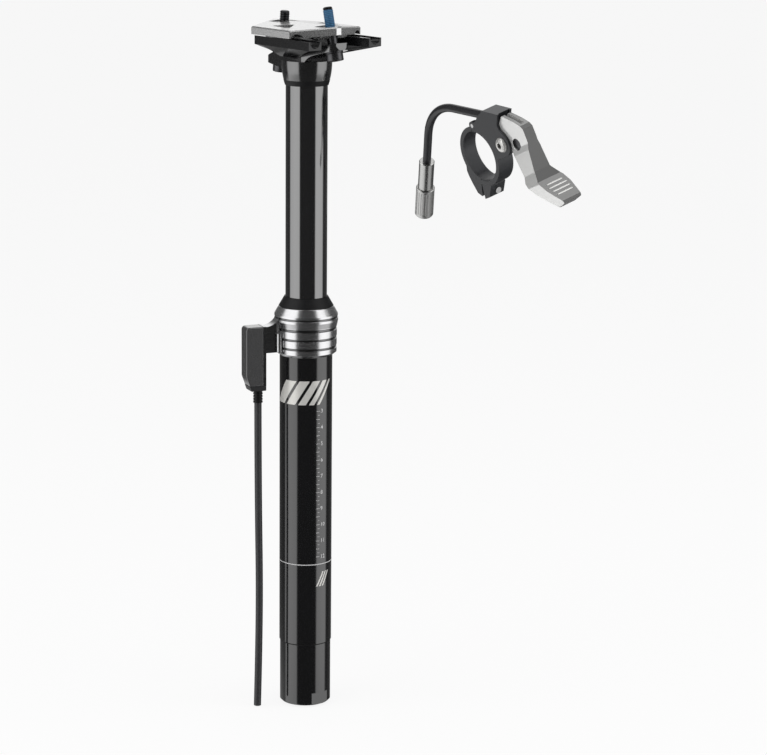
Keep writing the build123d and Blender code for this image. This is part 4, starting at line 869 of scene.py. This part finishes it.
# the patch's hollow, 1 in its valleys, carries its painted shade
patch_r, patch_z = threaded(thread_low, patch_high, patch_ridge, patch_valley)
patch = turned_piece("Thread_Lock_Patch", patch_r, patch_z, bolt_frame("front_bolt", front_lean), "slider",
                     None, "thread lock", (patch_ridge - patch_r) / (patch_ridge - patch_valley))

# %% [markdown]
# ## Neck band of painted shade
#
# Where the tube widens into the head, the photograph shows a dark band. The solid's neck is an arc turned
# round the axis, so the band is the same arc, a few hundredths of a millimetre larger.

# %% Neck band of painted shade
neck_foot, neck_middle, neck_top = (12.75, 160.5), (14.1, 165.6), (14.9, 175.0)
band_low, band_high, band_lift = 160.5, 163.6, 0.06
band_columns = 96


def through(low, middle, high):
    """Centre and radius of the circle through three flat points."""
    rows = 2 * np.array([np.subtract(middle, low), np.subtract(high, low)])
    sums = np.array([np.dot(middle, middle) - np.dot(low, low), np.dot(high, high) - np.dot(low, low)])
    centre = np.linalg.solve(rows, sums)
    return centre, np.linalg.norm(centre - low)


neck_centre, neck_bow = through(neck_foot, neck_middle, neck_top)
band_z = np.linspace(band_low, band_high, 24)
band_r = neck_centre[0] + np.sqrt(neck_bow ** 2 - (band_z - neck_centre[1]) ** 2)
# a matt black skin laid over the neck as painted shade, in place of the glossy tube's dark reflection
neck_shade_band = turned_piece("Neck_Shade_Band", spun(band_r + band_lift, band_columns), spun(band_z, band_columns), upright,
                    "slider", None, "rubber")
print("neck band radius from", band_r[0].round(2), "to", band_r[-1].round(2))

# %% [markdown]
# ## Lever pivot and grip
#
# The thumb lever turns on a button-head screw: a low dome with a hexagon socket, which the same lathe
# makes. Its paddle has a few raised bars across it, so that a wet glove doesn't slip. A bump map would
# leave the paddle's outline flat, so each bar is half a rounded rod laid on the skin.

# %% Pivot screw
bar_centre = np.array([36.3, 108.7, 115.3])
hub_ahead, hub_above = 28.5, 0.5
hub = bar_centre + hub_ahead * lever_x + hub_above * lever_y
head_out, shank_foot = 5.6, -5.4
dome = [(2.25 + 2.4 * math.cos(t), 5.65 + 2.1 * math.sin(t), False) for t in np.linspace(math.pi / 2, 0, 12)]
pivot_rows = rows_of([(0, 6.2, True), (1.7, 6.2, True), (1.7, 7.6, True), (2.1, 7.78, False)] + dome
                     + [(4.65, head_out, False), (2.5, head_out, False), (2.5, shank_foot, False),
                        (2.3, shank_foot - 0.2, False), (0, shank_foot - 0.2, False)])
# painted shade inside the hexagon socket: the points between its floor and its rim
socket = (pivot_rows[1] < 7.5) * (pivot_rows[0] < 2.0) * (pivot_rows[1] > 5.0)
pivot = turned_piece("Pivot_Screw", *pivot_rows, (hub * mm, lever_x, lever_y, -bar_way), "post", "pivot_bolt",
                     "button", socket)

# %% Grip bars
lever_long = 57.6
paddle_start_share, paddle_run_share = np.array([0.408, -0.502]), np.array([0.229, -0.269])
outward = 0.761 * lever_x + 0.648 * lever_y
down = 0.648 * lever_x - 0.761 * lever_y
bar_half, bar_tall, bar_sunk = 0.55, 0.4, 0.05


def grip_bar(name, share, reach):
    """Half a rounded rod across the paddle. Width and height shrink to nothing at both ends, as the root of
    1 - (place / reach) to the sixth power, and the rod's lower edge lies just under the paddle's skin."""
    ahead, above = lever_long * (paddle_start_share + share * paddle_run_share)
    centre = hub + ahead * lever_x + above * lever_y
    place, turn_at = np.meshgrid(reach * np.cos(np.linspace(0, math.pi, 33)),
                                 np.linspace(-0.1, math.pi + 0.1, 15), indexing="ij")
    size = np.sqrt(np.clip(1 - (place / reach) ** 6, 0, 1))
    points = (centre + place[..., None] * bar_way + (bar_half * size * np.cos(turn_at))[..., None] * down
              + (bar_tall * size * np.sin(turn_at) - bar_sunk)[..., None] * outward) * mm
    mesh = smooth_mesh(name, points, grid_faces(*place.shape))
    mesh.materials.append(looks["lever bars"])
    piece = put_in_scene(name, mesh)
    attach(piece, "lever")
    print(name, "points:", len(mesh.vertices))


looks["lever bars"] = finish("polished bars", (0.86, 0.86, 0.84), (0.78, 0.78, 0.76), (0.2, 0.3),
                             (1500, 1500, 1500), metallic=1.0, bump=0.02)
for number, (share, reach) in enumerate(((0.22, 6.6), (0.38, 7.4), (0.54, 7.2), (0.7, 6.4))):
    grip_bar(f"Grip_Bar_{number + 1}", share, reach)

# %% The end
bpy.context.view_layer.update()
